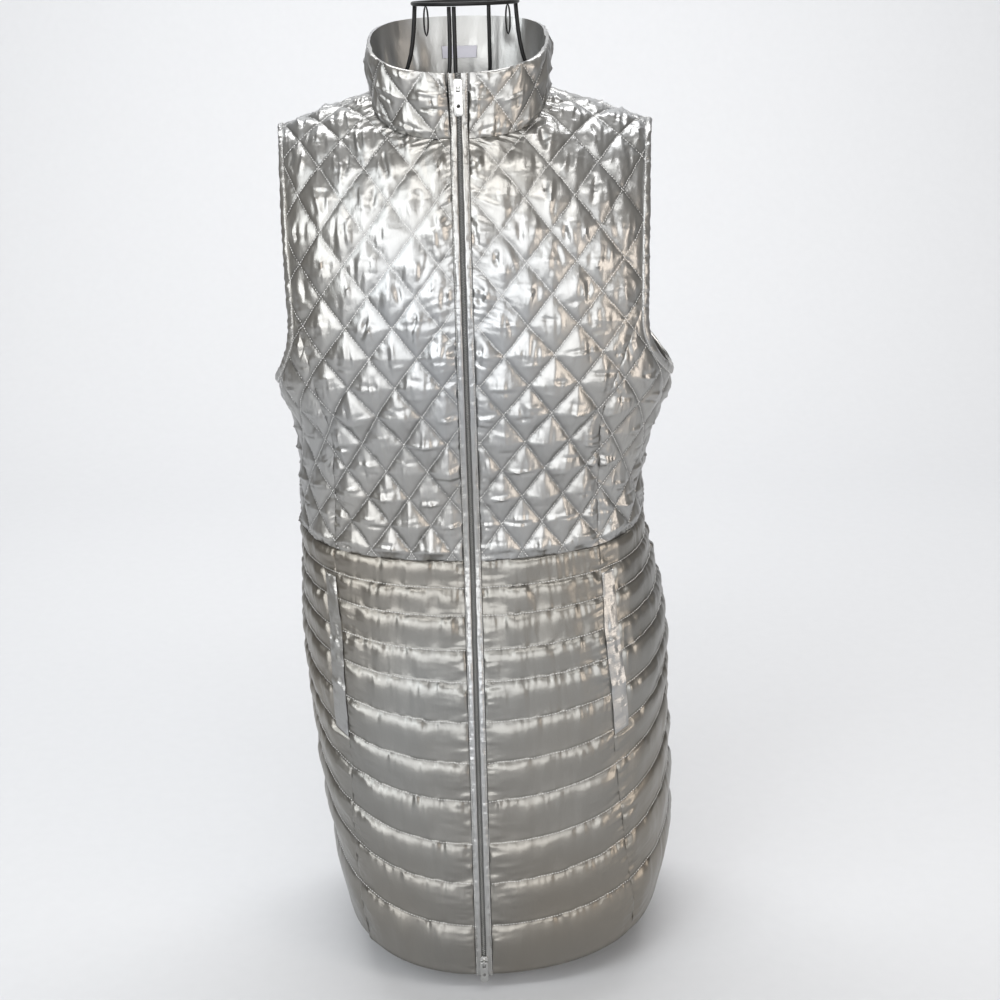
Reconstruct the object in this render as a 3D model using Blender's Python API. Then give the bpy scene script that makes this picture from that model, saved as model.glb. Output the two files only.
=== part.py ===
"""A long quilted satin vest, zipped up to its stand collar, on a black wire dress form.

Metres, +Z up. X runs to the right as the front is looked at and the front faces -Y. Left and
right are as the front is looked at. The vest is a pattern wrapped round a figure: a point of
the cloth is (across, up). Across counts quilting columns from the centre front, minus to the
left, with the side seams at 6 and the centre back at 12. Up is the height of the level, and
goes on as length along the cloth where it bends over the shoulder.
"""

import math
from collections import Counter, defaultdict, namedtuple

import bmesh
import bpy
import numpy as np
from mathutils import Matrix, Vector
from mathutils.geometry import delaunay_2d_cdt

# The garment's levels, and the line of its shoulders
HEM = 0.022
WAIST = 0.467
UNDERARM = 0.642
FRONT_NECK = 0.884
BACK_NECK = 0.917
NECK_HALF_WIDTH = 0.084
SHOULDER_PEAK = 0.953
SHOULDER_SLOPE = 0.335
SHOULDER_ROUND = 0.020
SHOULDER_DROP = 0.120
SHOULDER_TIP = {-1: 0.1825, 1: 0.1915}

# Half widths and depths of the level sections, and how far a level climbs at the sides
Section = namedtuple("Section", "level left right front back side_rise")
SECTIONS = (
    Section(HEM, 0.1545, 0.1985, 0.174, 0.138, 0.048),
    Section(0.054, 0.1605, 0.2070, 0.175, 0.139, 0.066),
    Section(0.103, 0.1675, 0.2080, 0.174, 0.140, 0.077),
    Section(0.152, 0.1735, 0.2070, 0.171, 0.140, 0.080),
    Section(0.220, 0.1785, 0.2045, 0.164, 0.139, 0.072),
    Section(0.330, 0.1835, 0.2025, 0.149, 0.134, 0.048),
    Section(0.400, 0.1820, 0.1910, 0.132, 0.122, 0.031),
    Section(WAIST, 0.1800, 0.1790, 0.115, 0.110, 0.018),
    Section(0.550, 0.1765, 0.1805, 0.119, 0.106, 0.004),
    Section(0.596, 0.1790, 0.1945, 0.126, 0.109, 0.001),
    Section(0.642, 0.1970, 0.2110, 0.133, 0.112, 0.000),
    Section(0.720, 0.200, 0.214, 0.133, 0.118, 0.000),
    Section(0.800, 0.200, 0.214, 0.119, 0.116, 0.000),
    Section(0.884, 0.200, 0.214, 0.096, 0.104, 0.000),
    Section(0.950, 0.200, 0.214, 0.084, 0.096, 0.000),
)
SQUARENESS = 0.05

# Seams, in columns from the centre front or centre back
SIDE_SEAM = 6.0
CENTRE_BACK = 12.0
COLUMNS_FROZEN = 0.720
Princess = namedtuple("Princess", "level left right")
PRINCESS = (
    Princess(HEM, 2.92, 3.25),
    Princess(0.105, 2.91, 2.98),
    Princess(0.180, 2.88, 2.88),
    Princess(0.265, 2.89, 2.83),
    Princess(0.368, 3.08, 2.87),
    Princess(WAIST, 3.50, 3.20),
    Princess(0.550, 3.40, 3.14),
    Princess(0.625, 3.27, 2.90),
    Princess(0.680, 3.40, 3.25),
    Princess(0.735, 3.90, 3.84),
)
ARMHOLE_FRONT = {-1: 3.95, 1: 3.84}
ARMHOLE_BACK = 8.10
ARMHOLE_BEND = 0.705

# Cloth
WALL = 0.0020
SEAM_GAP = 0.00025
OUTLINE_STEP = 0.016
SNAP = 0.0025
SILVER = (0.55, 0.55, 0.53)
SATIN_ROUGHNESS = 0.35
SATIN_METALLIC = 0.6

# Diamond quilting of the bodice and collar
COLUMN = 0.0455
DIAMOND_HEIGHT = 0.059
DIAMOND_LEVEL = 0.741
DIAMOND_PHASE = {-1: 0.0, 1: 0.75}
DIAMOND_PUFF = 0.0036
PUFF_FADE = 0.016

# Channel quilting of the skirt
CHANNEL_SEAMS = (HEM, 0.081, 0.130, 0.174, 0.221, 0.262, 0.305, 0.346, 0.378, 0.412, 0.440, WAIST)
CHANNEL_PUFF = 0.10
CHANNEL_ROWS = (0.3, 0.7)
CHANNEL_STEP = 0.65

# Pocket welts, beside the princess seams
WELT_WIDTH = 0.33
WELT_BOTTOM = 0.255
WELT_TOP = 0.436
WELT_THICKNESS = 0.0018
WELT_ROWS = 9
WELT_SECTION = ((0.06, 0.7), (0.5, 1.0), (0.94, 0.7))
WELT_SHARE_STEP = 0.06

# Collar, whose top ring stands above the neck seam
COLLAR_HALF_WIDTH = 0.088
COLLAR_FRONT = 0.080
COLLAR_BACK = 0.068
COLLAR_TOP_FRONT = 0.945
COLLAR_TOP_SIDE = 0.974
COLLAR_TOP_BACK = 0.992
COLLAR_LIFT = 0.0036
COLLAR_WALL = 0.0026

# Zip and the plain bands beside it, across from the centre front
COIL_HALF_WIDTH = 0.0024
TAPE_HALF_WIDTH = 0.0110
TAPE_THICKNESS = 0.0008
BAND_INNER = 0.0030
BAND_OUTER = 0.0092
BAND_LIFT = 0.0012
FRONT_STATIONS = 27
COLLAR_STATIONS = 4
NECK_CLEARANCE = 0.006
PIECE_GAP = 0.0003

# Sliders and pull tabs, measured out from the middle of the wall
TOP_SLIDER_HEIGHT = 0.934
BOTTOM_SLIDER_HEIGHT = 0.040
SLIDER_BACK = 0.0021
SLIDER_FRONT = 0.0043
SLIDER_HALF_WIDTH = 0.0042
SLIDER_HALF_LENGTH = 0.0058
ARCH_FRONT = 0.0088
ARCH_HALF_LENGTH = 0.0031
ARCH_HALF_WIDTH = 0.0010
ARCH_WINDOW = (0.0047, 0.0076, 0.0019)
PIVOT_OUT = 0.00615
PIVOT_DROP = 0.0008
PULL_HALF_WIDTH = 0.0042
PULL_HALF_THICKNESS = 0.00065
PULL_EYE = (0.0016, 0.0055)
PULL_HOLE_RADIUS = 0.0017
PULL_LENGTH = {"top": 0.028, "bottom": 0.023}
METAL = (0.80, 0.80, 0.78)
METAL_ROUGHNESS = 0.3

# Wire dress form, whose wires drop straight from the neck ring, follow the cloth, and are drawn in
# (level, inset) above a base ring that the hem hides
FORM_X = 0.008
WIRE_RADIUS = 0.0022
NECK_RING_RADIUS = 0.0520
NECK_RING_HEIGHT = 1.0070
NECK_LEVELS = (0.955, 0.915)
LOOP_X = {"left": -0.040, "right": 0.042}
LOOP_WIRE_RADIUS = 0.0010
LOOP_HALF_HEIGHT = 0.0145
LOOP_HALF_WIDTH = 0.0022
CAGE_INSET = 0.0125
CAGE_LEVELS = (0.86, 0.80, 0.72, 0.64, 0.55, 0.47, 0.38, 0.29, 0.20)
DRAW_IN = ((0.11, 0.036), (0.045, 0.062))
BASE_INSET = 0.065
RING_HEIGHT = {"bust": 0.62, "hip": 0.29}
RING_POINTS = 36
BASE_RING_POINTS = 24
FRONT_WIRE_X = {"left": -0.0150, "right": -0.0103}
FRONT_WIRE_SPREAD = {"left": 0.4, "right": 0.0}
FRONT_WIRE_POINTS = 16
BACK_WIRE_X = 0.023
BACK_WIRE_COLUMN = CENTRE_BACK - 0.5
CAGE_WIRE_POINTS = 24

# Side wires: (step out, level) under the neck ring, then half widths where they carry the shoulder
SIDE_WIRE_X = 0.0495
SIDE_WIRE_Y = 0.0035
SIDE_WIRE_COLUMN = 3.3
SIDE_WIRE_NECK = ((0.003, 0.962), (0.007, 0.926))
SHOULDER_WIDTHS = (0.100, 0.125, 0.148)
SHOULDER_REST = 0.0007
SHOULDER_STEP_BACK = 0.0035
FOOT_COLUMNS = (3, 9, 15, 21)
FOOT_RADIUS = 0.009
FOOT_HEIGHT = 0.0125
WIRE_COLOUR = (0.012, 0.012, 0.012)
WIRE_ROUGHNESS = 0.45


def through(levels, values):
    """Return a smooth function of height that passes through the values."""
    levels = np.array(levels, float)
    values = np.array(values, float)
    slopes = np.gradient(values, levels)

    def at(level):
        level = np.clip(level, levels[0], levels[-1])
        i = np.clip(np.searchsorted(levels, level) - 1, 0, len(levels) - 2)
        step = levels[i + 1] - levels[i]
        t = (level - levels[i]) / step
        bend = step * t * (1 - t) * (slopes[i] * (1 - t) - slopes[i + 1] * t)
        return values[i] * (1 + 2 * t) * (1 - t) ** 2 + values[i + 1] * t * t * (3 - 2 * t) + bend
    return at


def section_column(name):
    """Return a column of the section table as a function of height."""
    return through([row.level for row in SECTIONS], [getattr(row, name) for row in SECTIONS])


HALF_WIDTH = {-1: section_column("left"), 1: section_column("right")}
FRONT_DEPTH = section_column("front")
BACK_DEPTH = section_column("back")
SIDE_RISE = section_column("side_rise")
PRINCESS_LEVELS = [row.level for row in PRINCESS]
PRINCESS_SEAM = {
    -1: through(PRINCESS_LEVELS, [row.left for row in PRINCESS]),
    1: through(PRINCESS_LEVELS, [row.right for row in PRINCESS]),
}


def section_x(turn):
    """Return the half width share of a section at a turn from the front."""
    return (np.sin(turn) + SQUARENESS * np.sin(3 * turn)) / (1 - SQUARENESS)


def section_y(turn):
    """Return the depth share of a section at a turn from the front."""
    return (np.cos(turn) - SQUARENESS * np.cos(3 * turn)) / (1 - SQUARENESS)


def depth_at(turn, level):
    """Return the depth of the section's front or back half."""
    return np.where(turn <= math.pi / 2, FRONT_DEPTH(level), BACK_DEPTH(level))


GRID_LEVELS = np.linspace(HEM, COLUMNS_FROZEN, 60)
GRID_TURNS = np.linspace(0, math.pi, 97)
GRID_COLUMNS = np.linspace(0, CENTRE_BACK, 121)


def measure_sections(side):
    """Return the turn of each column and the front column width, at each level of the grid."""
    turns, widths = [], []
    middle = len(GRID_TURNS) // 2
    for level in GRID_LEVELS:
        x = HALF_WIDTH[side](level) * section_x(GRID_TURNS)
        y = depth_at(GRID_TURNS, level) * section_y(GRID_TURNS)
        run = np.concatenate(([0], np.cumsum(np.hypot(np.diff(x), np.diff(y)))))
        front, back = run[middle], run[-1] - run[middle]
        share = np.where(GRID_TURNS <= math.pi / 2, run / front, 1 + (run - front) / back)
        turns.append(np.interp(GRID_COLUMNS, share * SIDE_SEAM, GRID_TURNS))
        widths.append(front / SIDE_SEAM)
    return np.array(turns), np.array(widths)


MEASURES = {side: measure_sections(side) for side in (-1, 1)}


def turn_at(side, columns, up):
    """Return the turn from the front at a column and a level, read from the grid."""
    row = np.clip((up - HEM) / (COLUMNS_FROZEN - HEM), 0, 1) * (len(GRID_LEVELS) - 1)
    column = np.clip(columns / CENTRE_BACK, 0, 1) * (len(GRID_COLUMNS) - 1)
    i = np.minimum(row.astype(int), len(GRID_LEVELS) - 2)
    j = np.minimum(column.astype(int), len(GRID_COLUMNS) - 2)
    a, b = row - i, column - j
    turns = MEASURES[side][0]
    lower = turns[i, j] * (1 - b) + turns[i, j + 1] * b
    upper = turns[i + 1, j] * (1 - b) + turns[i + 1, j + 1] * b
    return lower * (1 - a) + upper * a


def front_column_width(side, up):
    """Return the width of a column beside the zip, in metres."""
    return np.interp(up, GRID_LEVELS, MEASURES[side][1])


def shoulder_bend(x, turn):
    """Return where the cloth starts to bend over the shoulder, and its length from there."""
    bend = SHOULDER_PEAK - SHOULDER_SLOPE * np.hypot(x, SHOULDER_ROUND) - SHOULDER_DROP
    depth = np.abs(depth_at(turn, bend) * section_y(turn))
    a, b = SHOULDER_DROP, depth
    length = math.pi / 4 * (3 * (a + b) - np.sqrt((3 * a + b) * (a + 3 * b)))
    return bend, length


def body_points(cloth):
    """Return the middle of the wall at an array of cloth points (across, up)."""
    across = (cloth[:, 0] + CENTRE_BACK) % (2 * CENTRE_BACK) - CENTRE_BACK
    up = cloth[:, 1]
    right = across >= 0
    columns = np.abs(across)
    turn = np.where(right, turn_at(1, columns, up), turn_at(-1, columns, up))
    half = np.where(right, HALF_WIDTH[1](up), -HALF_WIDTH[-1](up))
    x = half * section_x(turn)
    bend, length = shoulder_bend(x, turn)
    lean = np.clip((up - bend) / length, 0, 1.2) * math.pi / 2
    level = np.where(up < bend, up, bend + SHOULDER_DROP * np.sin(lean))
    y = -depth_at(turn, level) * section_y(turn) * np.cos(lean)
    z = level + SIDE_RISE(up) * np.sin(turn) ** 2
    return np.column_stack((x, y, z))


def surface_normals(points_of, cloth):
    """Return the outward unit normals of a surface at cloth points."""
    right, upward = np.array((0.04, 0)), np.array((0, 0.0015))
    run = points_of(cloth + right) - points_of(cloth - right)
    rise = points_of(cloth + upward) - points_of(cloth - upward)
    normal = np.cross(run, rise)
    return normal / np.linalg.norm(normal, axis=1)[:, None]


def column_of(side, x, back=False):
    """Return the column of the chest whose cloth lies at half width x."""
    quarter = np.linspace(0, math.pi / 2, 91)
    turn = np.interp(x / HALF_WIDTH[side](COLUMNS_FROZEN), section_x(quarter), quarter)
    if back:
        turn = math.pi - turn
    return np.interp(turn, MEASURES[side][0][-1], GRID_COLUMNS)


def cloth_at(side, x, height=None, back=False):
    """Return the cloth point at half width x and a height, or on the shoulder's ridge."""
    column = column_of(side, x, back)
    turn = turn_at(side, np.array([column]), np.array([COLUMNS_FROZEN]))[0]
    bend, length = shoulder_bend(x, turn)
    lean = 1.0
    if height is not None:
        lean = math.asin(min(1.0, (height - bend) / SHOULDER_DROP)) / (math.pi / 2)
    return float(column), float(bend + length * lean)


def neck_point(turn):
    """Return half width and height of the neck seam at a turn from the front."""
    x = NECK_HALF_WIDTH * math.sin(turn)
    peak = SHOULDER_PEAK - SHOULDER_SLOPE * math.hypot(NECK_HALF_WIDTH, SHOULDER_ROUND)
    middle = FRONT_NECK if turn <= math.pi / 2 else BACK_NECK
    return x, middle + (peak - middle) * (1 - abs(math.cos(turn))) ** 1.5


def neck_outline(back, steps=7):
    """Return the neck seam's heights from the shoulder to the middle, as (half width, height)."""
    turns = np.linspace(math.pi / 2, math.pi if back else 0, steps)
    return [neck_point(turn) for turn in turns]


def resample(points, step):
    """Return a line of cloth points again with an even step."""
    points = np.array(points, float)
    flat = points * (COLUMN, 1)
    run = np.concatenate(([0], np.cumsum(np.linalg.norm(np.diff(flat, axis=0), axis=1))))
    count = max(1, round(run[-1] / step))
    stations = np.linspace(0, run[-1], count + 1)
    return np.column_stack([np.interp(stations, run, points[:, k]) for k in (0, 1)])


def join_lines(lines):
    """Return one closed outline from lines that meet end to end."""
    outline = [point for line in lines for point in resample(line, OUTLINE_STEP)[:-1]]
    return np.array(outline)


def princess_line(side, low, high, steps=24):
    """Return the front panel's seam to the side panel, upwards."""
    return [(float(PRINCESS_SEAM[side](up)), up) for up in np.linspace(low, high, steps)]


def armhole_line(side, low, back, steps=24):
    """Return the armhole's edge from a level up to the shoulder's tip."""
    tip = cloth_at(side, SHOULDER_TIP[side], back=back)
    bend = ARMHOLE_BACK if back else ARMHOLE_FRONT[side]
    line = []
    for up in np.linspace(low, tip[1], steps):
        if up < ARMHOLE_BEND:
            drop = (ARMHOLE_BEND - up) / (ARMHOLE_BEND - UNDERARM)
            across = bend + (SIDE_SEAM - bend) * (1 - math.sqrt(1 - drop ** 2))
        else:
            across = bend + (tip[0] - bend) * ((up - ARMHOLE_BEND) / (tip[1] - ARMHOLE_BEND)) ** 2
        line.append((across, up))
    return line


def band_edge(side, up):
    """Return the column where a panel meets the band beside the zip."""
    return BAND_OUTER / front_column_width(side, up)


def neck_line(side, back):
    """Return the neck's edge from the shoulder to the middle of the front or back."""
    return [cloth_at(side, x, height, back) for x, height in neck_outline(back)]


def front_bodice(side):
    """Return the outline of the front panel, round from the zip at the waist."""
    top = PRINCESS[-1].level
    neck = [point for point in neck_line(side, False) if point[0] > band_edge(side, FRONT_NECK)]
    neck.append((band_edge(side, FRONT_NECK), neck[-1][1]))
    armhole = armhole_line(side, top, False)
    return join_lines((
        [(band_edge(side, WAIST), WAIST), (PRINCESS_SEAM[side](WAIST), WAIST)],
        princess_line(side, WAIST, top)[:-1] + [armhole[0]],
        armhole,
        [armhole[-1], neck[0]],
        neck,
        [(band_edge(side, up), up) for up in np.linspace(neck[-1][1], WAIST, 12)],
    ))


def side_bodice(side):
    """Return the outline of the side panel, round from the princess seam at the waist."""
    top = PRINCESS[-1].level
    armhole = armhole_line(side, UNDERARM, False)
    armhole = [point for point in armhole if point[1] < top - SNAP]
    corner = armhole_line(side, top, False)[0]
    return join_lines((
        [(PRINCESS_SEAM[side](WAIST), WAIST), (SIDE_SEAM, WAIST)],
        [(SIDE_SEAM, WAIST), (SIDE_SEAM, UNDERARM)],
        armhole + [corner],
        [corner] + princess_line(side, WAIST, top)[::-1][1:],
    ))


def back_bodice():
    """Return the outline of the back, round from the right side seam at the waist."""
    right = armhole_line(1, UNDERARM, True)
    left = mirrored(armhole_line(-1, UNDERARM, True))
    neck = neck_line(1, True) + mirrored(neck_line(-1, True))[::-1][1:]
    last = 2 * CENTRE_BACK - SIDE_SEAM
    return join_lines((
        [(SIDE_SEAM, WAIST), (last, WAIST)],
        [(last, WAIST), (last, UNDERARM)],
        left,
        [left[-1], neck[-1]],
        neck[::-1],
        [neck[0], right[-1]],
        right[::-1],
        [(SIDE_SEAM, UNDERARM), (SIDE_SEAM, WAIST)],
    ))


def mirrored(line):
    """Return a line of the right of the back on the left, past the centre back."""
    return [(2 * CENTRE_BACK - across, up) for across, up in line]


def inset(outline, distance):
    """Return an outline drawn in by a distance, given and measured on the flat cloth."""
    flat = outline * (COLUMN, 1)
    ahead = np.roll(flat, -1, axis=0) - flat
    ahead /= np.linalg.norm(ahead, axis=1)[:, None]
    inward = np.column_stack((-ahead[:, 1], ahead[:, 0]))
    before = np.roll(inward, 1, axis=0)
    square = 1 + np.sum(inward * before, axis=1)
    return (flat + (inward + before) * distance / np.maximum(square, 0.15)[:, None]) / (COLUMN, 1)


def edge_distance(outline, points):
    """Return how far flat cloth points lie from the outline, in metres."""
    start = outline * (COLUMN, 1)
    run = np.roll(start, -1, axis=0) - start
    offset = points[:, None, :] * (COLUMN, 1) - start[None]
    share = np.clip(np.sum(offset * run, axis=2) / np.sum(run * run, axis=1), 0, 1)
    return np.linalg.norm(offset - share[..., None] * run, axis=2).min(axis=1)


def is_inside(outline, points):
    """Tell which cloth points lie inside the outline."""
    start, end = outline, np.roll(outline, -1, axis=0)
    x, y = points[:, 0, None], points[:, 1, None]
    crosses = (start[:, 1] > y) != (end[:, 1] > y)
    with np.errstate(divide="ignore", invalid="ignore"):
        at = start[:, 0] + (y - start[:, 1]) * (end[:, 0] - start[:, 0]) / (end[:, 1] - start[:, 1])
    return np.sum(crosses & (x < at), axis=1) % 2 == 1


def diamond_counts(cloth, phase):
    """Return the two counts of a cloth point that are whole on the diamonds' stitch lines."""
    across = cloth[..., 0] - phase
    rows = (cloth[..., 1] - DIAMOND_LEVEL) / DIAMOND_HEIGHT
    return np.stack((across + rows, across - rows), axis=-1)


def diamond_point(counts, phase):
    """Return the cloth point of two diamond counts."""
    first, second = counts
    return ((first + second) / 2 + phase, (first - second) / 2 * DIAMOND_HEIGHT + DIAMOND_LEVEL)


def diamond_relief(cloth, phase, outline):
    """Return how far the quilting stands out of the wall."""
    counts = diamond_counts(cloth, phase)
    middle = 2 * np.abs(counts - np.round(counts)).min(axis=-1)
    fade = np.minimum(1, edge_distance(outline, cloth) / PUFF_FADE)
    return DIAMOND_PUFF * np.sqrt(middle * fade)


def meet_lines(outline, phase):
    """Return the outline with a point where each stitch line meets it, and each line's points."""
    points, lines = [], defaultdict(set)
    counts = diamond_counts(outline, phase)
    count = len(outline)
    starts = {}
    snapped = defaultdict(set)
    for i in range(count):
        j = (i + 1) % count
        starts[i] = len(points)
        points.append(outline[i])
        length = np.linalg.norm((outline[j] - outline[i]) * (COLUMN, 1))
        meetings = []
        for family in (0, 1):
            low, high = sorted((counts[i][family], counts[j][family]))
            for whole in range(math.ceil(low), math.floor(high) + 1):
                share = (whole - counts[i][family]) / (counts[j][family] - counts[i][family])
                meetings.append((share, (family, whole)))
        for share, line in sorted(meetings):
            if share * length < SNAP:
                snapped[i].add(line)
            elif (1 - share) * length < SNAP:
                snapped[j].add(line)
            elif np.linalg.norm((points[-1] - outline[i]) * (COLUMN, 1)) > share * length - SNAP:
                lines[line].add(len(points) - 1)
            else:
                lines[line].add(len(points))
                points.append(outline[i] + share * (outline[j] - outline[i]))
    for i, names in snapped.items():
        for line in names:
            lines[line].add(starts[i])
    return np.array(points), lines


def diamond_layout(outline, phase):
    """Return the cloth points, the edges of outline and stitch lines, and the cells' own points."""
    points, lines = meet_lines(outline, phase)
    rim = len(points)
    counts = diamond_counts(points, phase)
    first = range(math.floor(counts[:, 0].min()), math.ceil(counts[:, 0].max()) + 1)
    second = range(math.floor(counts[:, 1].min()), math.ceil(counts[:, 1].max()) + 1)
    cells = [(i, j) for i in first for j in second]
    crossings = np.array([diamond_point(cell, phase) for cell in cells])
    clear = is_inside(points, crossings) & (edge_distance(points, crossings) > 2 * SNAP)
    points = list(points)
    for cell, crossing, kept in zip(cells, crossings, clear):
        if kept:
            lines[(0, cell[0])].add(len(points))
            lines[(1, cell[1])].add(len(points))
            points.append(crossing)
    points = np.array(points)
    edges = {(i, (i + 1) % rim) for i in range(rim)}
    for line in lines.values():
        order = sorted(line, key=lambda index: tuple(points[index][::-1]))
        for a, b in zip(order, order[1:]):
            if is_inside(points[:rim], (points[a:a + 1] + points[b:b + 1]) / 2)[0]:
                edges.add((a, b))
    shares = ((0.25, 0.25), (0.75, 0.75), (0.25, 0.75), (0.75, 0.25))
    peaks = np.array([diamond_point((i + a, j + b), phase) for i, j in cells for a, b in shares])
    clear = is_inside(points[:rim], peaks) & (edge_distance(points[:rim], peaks) > 2.5 * SNAP)
    return points, sorted(edges), peaks[clear]


def triangulate(points, edges):
    """Return the points and triangles inside the outline that the edges close."""
    flat = [Vector(point * (COLUMN, 1)) for point in points]
    found = delaunay_2d_cdt(flat, edges, [], 1, 1e-7)
    cloth = np.array([tuple(point) for point in found[0]]) / (COLUMN, 1)
    return cloth, [tuple(face) for face in found[2]]


def rim_of(faces):
    """Return the closed loop of edges that only one face uses, in the faces' own direction."""
    uses = Counter(frozenset(edge) for face in faces for edge in zip(face, face[1:] + face[:1]))
    after = {}
    for face in faces:
        for a, b in zip(face, face[1:] + face[:1]):
            if uses[frozenset((a, b))] == 1:
                after[a] = b
    loop = [next(iter(after))]
    while after[loop[-1]] != loop[0]:
        loop.append(after[loop[-1]])
    return loop


def satin(name):
    """Return a silver satin material."""
    return plain_material(name, SILVER, SATIN_ROUGHNESS, SATIN_METALLIC)


def plain_material(name, colour, roughness, metallic):
    """Return a material of one colour."""
    material = bpy.data.materials.new(name)
    material.use_nodes = True
    shader = material.node_tree.nodes["Principled BSDF"]
    shader.inputs["Base Color"].default_value = (*colour, 1.0)
    shader.inputs["Roughness"].default_value = roughness
    shader.inputs["Metallic"].default_value = metallic
    return material


def add_object(name, points, faces, material):
    """Add one named object from points and faces."""
    mesh = bpy.data.meshes.new(name)
    mesh.from_pydata([tuple(point) for point in points], [], faces)
    mesh.materials.append(material)
    mesh.shade_smooth()
    mesh.set_sharp_from_angle(angle=math.radians(40))
    item = bpy.data.objects.new(name, mesh)
    bpy.context.collection.objects.link(item)
    return item


def add_wall(name, outer, faces, relief, inner, points_of, thickness, material):
    """Add a closed wall: a raised outer skin, a plain inner skin and the rim between them."""
    rim = rim_of(faces)
    corners = np.vstack((outer[rim], inner)) if len(inner) else outer[rim]
    edges = [(i, (i + 1) % len(rim)) for i in range(len(rim))]
    lining, lining_faces = triangulate(corners, edges)
    lining_rim = rim_of(lining_faces)
    normals = surface_normals(points_of, outer)
    front = points_of(outer) + normals * (thickness / 2 + relief)[:, None]
    normals = surface_normals(points_of, lining)
    back = points_of(lining) - normals * thickness / 2
    first = lining_rim.index(min(lining_rim, key=lambda i: np.linalg.norm(lining[i] - outer[rim[0]])))
    lining_rim = lining_rim[first:] + lining_rim[:first]
    base = len(outer)
    skin = list(faces) + [tuple(base + i for i in face[::-1]) for face in lining_faces]
    for k in range(len(rim)):
        a, b = rim[k], rim[(k + 1) % len(rim)]
        c, d = base + lining_rim[(k + 1) % len(rim)], base + lining_rim[k]
        skin.append((b, a, d, c))
    return add_object(name, np.vstack((front, back)), skin, material)


def add_diamond_panel(name, outline, phase, points_of, thickness, material):
    """Add a panel quilted in diamonds."""
    outline = inset(outline, SEAM_GAP)
    points, edges, peaks = diamond_layout(outline, phase)
    outer, faces = triangulate(np.vstack((points, peaks)), edges)
    relief = diamond_relief(outer, phase, outline)
    crossings = [point for point in points if edge_distance(outline, point[None])[0] > SNAP]
    add_wall(name, outer, faces, relief, np.array(crossings), points_of, thickness, material)


def channel_relief(up, share):
    """Return how far a channel stands out at a level, and at a share of the panel's width."""
    seams = np.array(CHANNEL_SEAMS)
    i = int(np.clip(np.searchsorted(seams, up) - 1, 0, len(seams) - 2))
    height = seams[i + 1] - seams[i]
    across = math.sin(math.pi * min(1.0, max(0.0, (up - seams[i]) / height)))
    edge = 1.0 if 0 < share < 1 else 0.4
    return CHANNEL_PUFF * height * edge * max(0.0, across) ** 0.8


def channel_levels(extra):
    """Return the levels of a skirt panel's rows, from the hem to the waist."""
    levels = set(extra)
    for low, high in zip(CHANNEL_SEAMS, CHANNEL_SEAMS[1:]):
        levels.add(low)
        for share in CHANNEL_ROWS:
            level = low + share * (high - low)
            if all(abs(level - other) > SNAP for other in extra):
                levels.add(level)
    levels.add(WAIST)
    return sorted(levels)


def add_channel_panel(name, first_edge, last_edge, material, welt=None):
    """Add a skirt panel between two edges, which are columns as functions of the level.

    A welt is the pair of shares of the width that it covers, and the quilting is flat under it.
    """
    width = last_edge(WAIST) - first_edge(WAIST)
    shares = list(np.linspace(0, 1, max(3, round(width / CHANNEL_STEP)) + 1))
    if welt:
        edge = welt[1] if welt[0] == 0 else welt[0]
        shares = sorted([share for share in shares if abs(share - edge) > WELT_SHARE_STEP] + [edge])
    levels = channel_levels((WELT_BOTTOM, WELT_TOP) if welt else ())
    cloth, relief = [], []
    for up in levels:
        cut = min(max(up, HEM + SEAM_GAP), WAIST - SEAM_GAP)
        gap = SEAM_GAP / COLUMN
        first, last = first_edge(up) + gap, last_edge(up) - gap
        for share in shares:
            cloth.append((first + share * (last - first), cut))
            pressed = welt and welt[0] <= share <= welt[1] and WELT_BOTTOM <= up <= WELT_TOP
            relief.append(0.0 if pressed else channel_relief(up, share))
    count = len(shares)
    faces = [(i * count + j, i * count + j + 1, (i + 1) * count + j + 1, (i + 1) * count + j)
             for i in range(len(levels) - 1) for j in range(count - 1)]
    cloth = np.array(cloth)
    inner = [cloth[i * count + j] for i, up in enumerate(levels) if up in CHANNEL_SEAMS[1:-1]
             for j in range(1, count - 1)]
    add_wall(name, cloth, faces, np.array(relief), np.array(inner), body_points, WALL, material)


def left_edge(side, edge):
    """Return an edge of the right on the side asked for."""
    return lambda up: side * edge(up)


def add_skirt(material):
    """Add the skirt's five panels."""
    for side, name in ((-1, "left"), (1, "right")):
        zip_edge = left_edge(side, lambda up, side=side: band_edge(side, up))
        princess = left_edge(side, PRINCESS_SEAM[side])
        seam = left_edge(side, lambda up: SIDE_SEAM)
        ends = (zip_edge, princess) if side > 0 else (princess, zip_edge)
        add_channel_panel(f"skirt_front_{name}", *ends, material)
        share = WELT_WIDTH / (SIDE_SEAM - PRINCESS_SEAM[side](WELT_TOP))
        ends, welt = ((princess, seam), (0, share)) if side > 0 else ((seam, princess), (1 - share, 1))
        add_channel_panel(f"skirt_side_{name}", *ends, material, welt)
    last = 2 * CENTRE_BACK - SIDE_SEAM
    add_channel_panel("skirt_back", lambda up: SIDE_SEAM, lambda up: last, material)


def add_welt(side, name, material):
    """Add a pocket welt, made from the points of the panel under it, moved out."""
    crown = np.array([height for _, height in WELT_SECTION])[:, None] * WELT_THICKNESS
    share = WELT_WIDTH / (SIDE_SEAM - PRINCESS_SEAM[side](WELT_TOP))
    rings = []
    for up in np.linspace(WELT_BOTTOM + PIECE_GAP, WELT_TOP - PIECE_GAP, WELT_ROWS):
        width = SIDE_SEAM - PRINCESS_SEAM[side](up)
        columns = [PRINCESS_SEAM[side](up) + part * share * width for part, _ in WELT_SECTION]
        cloth = np.array([(side * column, up) for column in columns])
        points, normals = body_points(cloth), surface_normals(body_points, cloth)
        low = points + normals * (WALL / 2 + 2 * PIECE_GAP)
        high = low + normals * crown
        rings.append(list(low) + list(high[::-1]))
    add_loft(name, rings, material)


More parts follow.
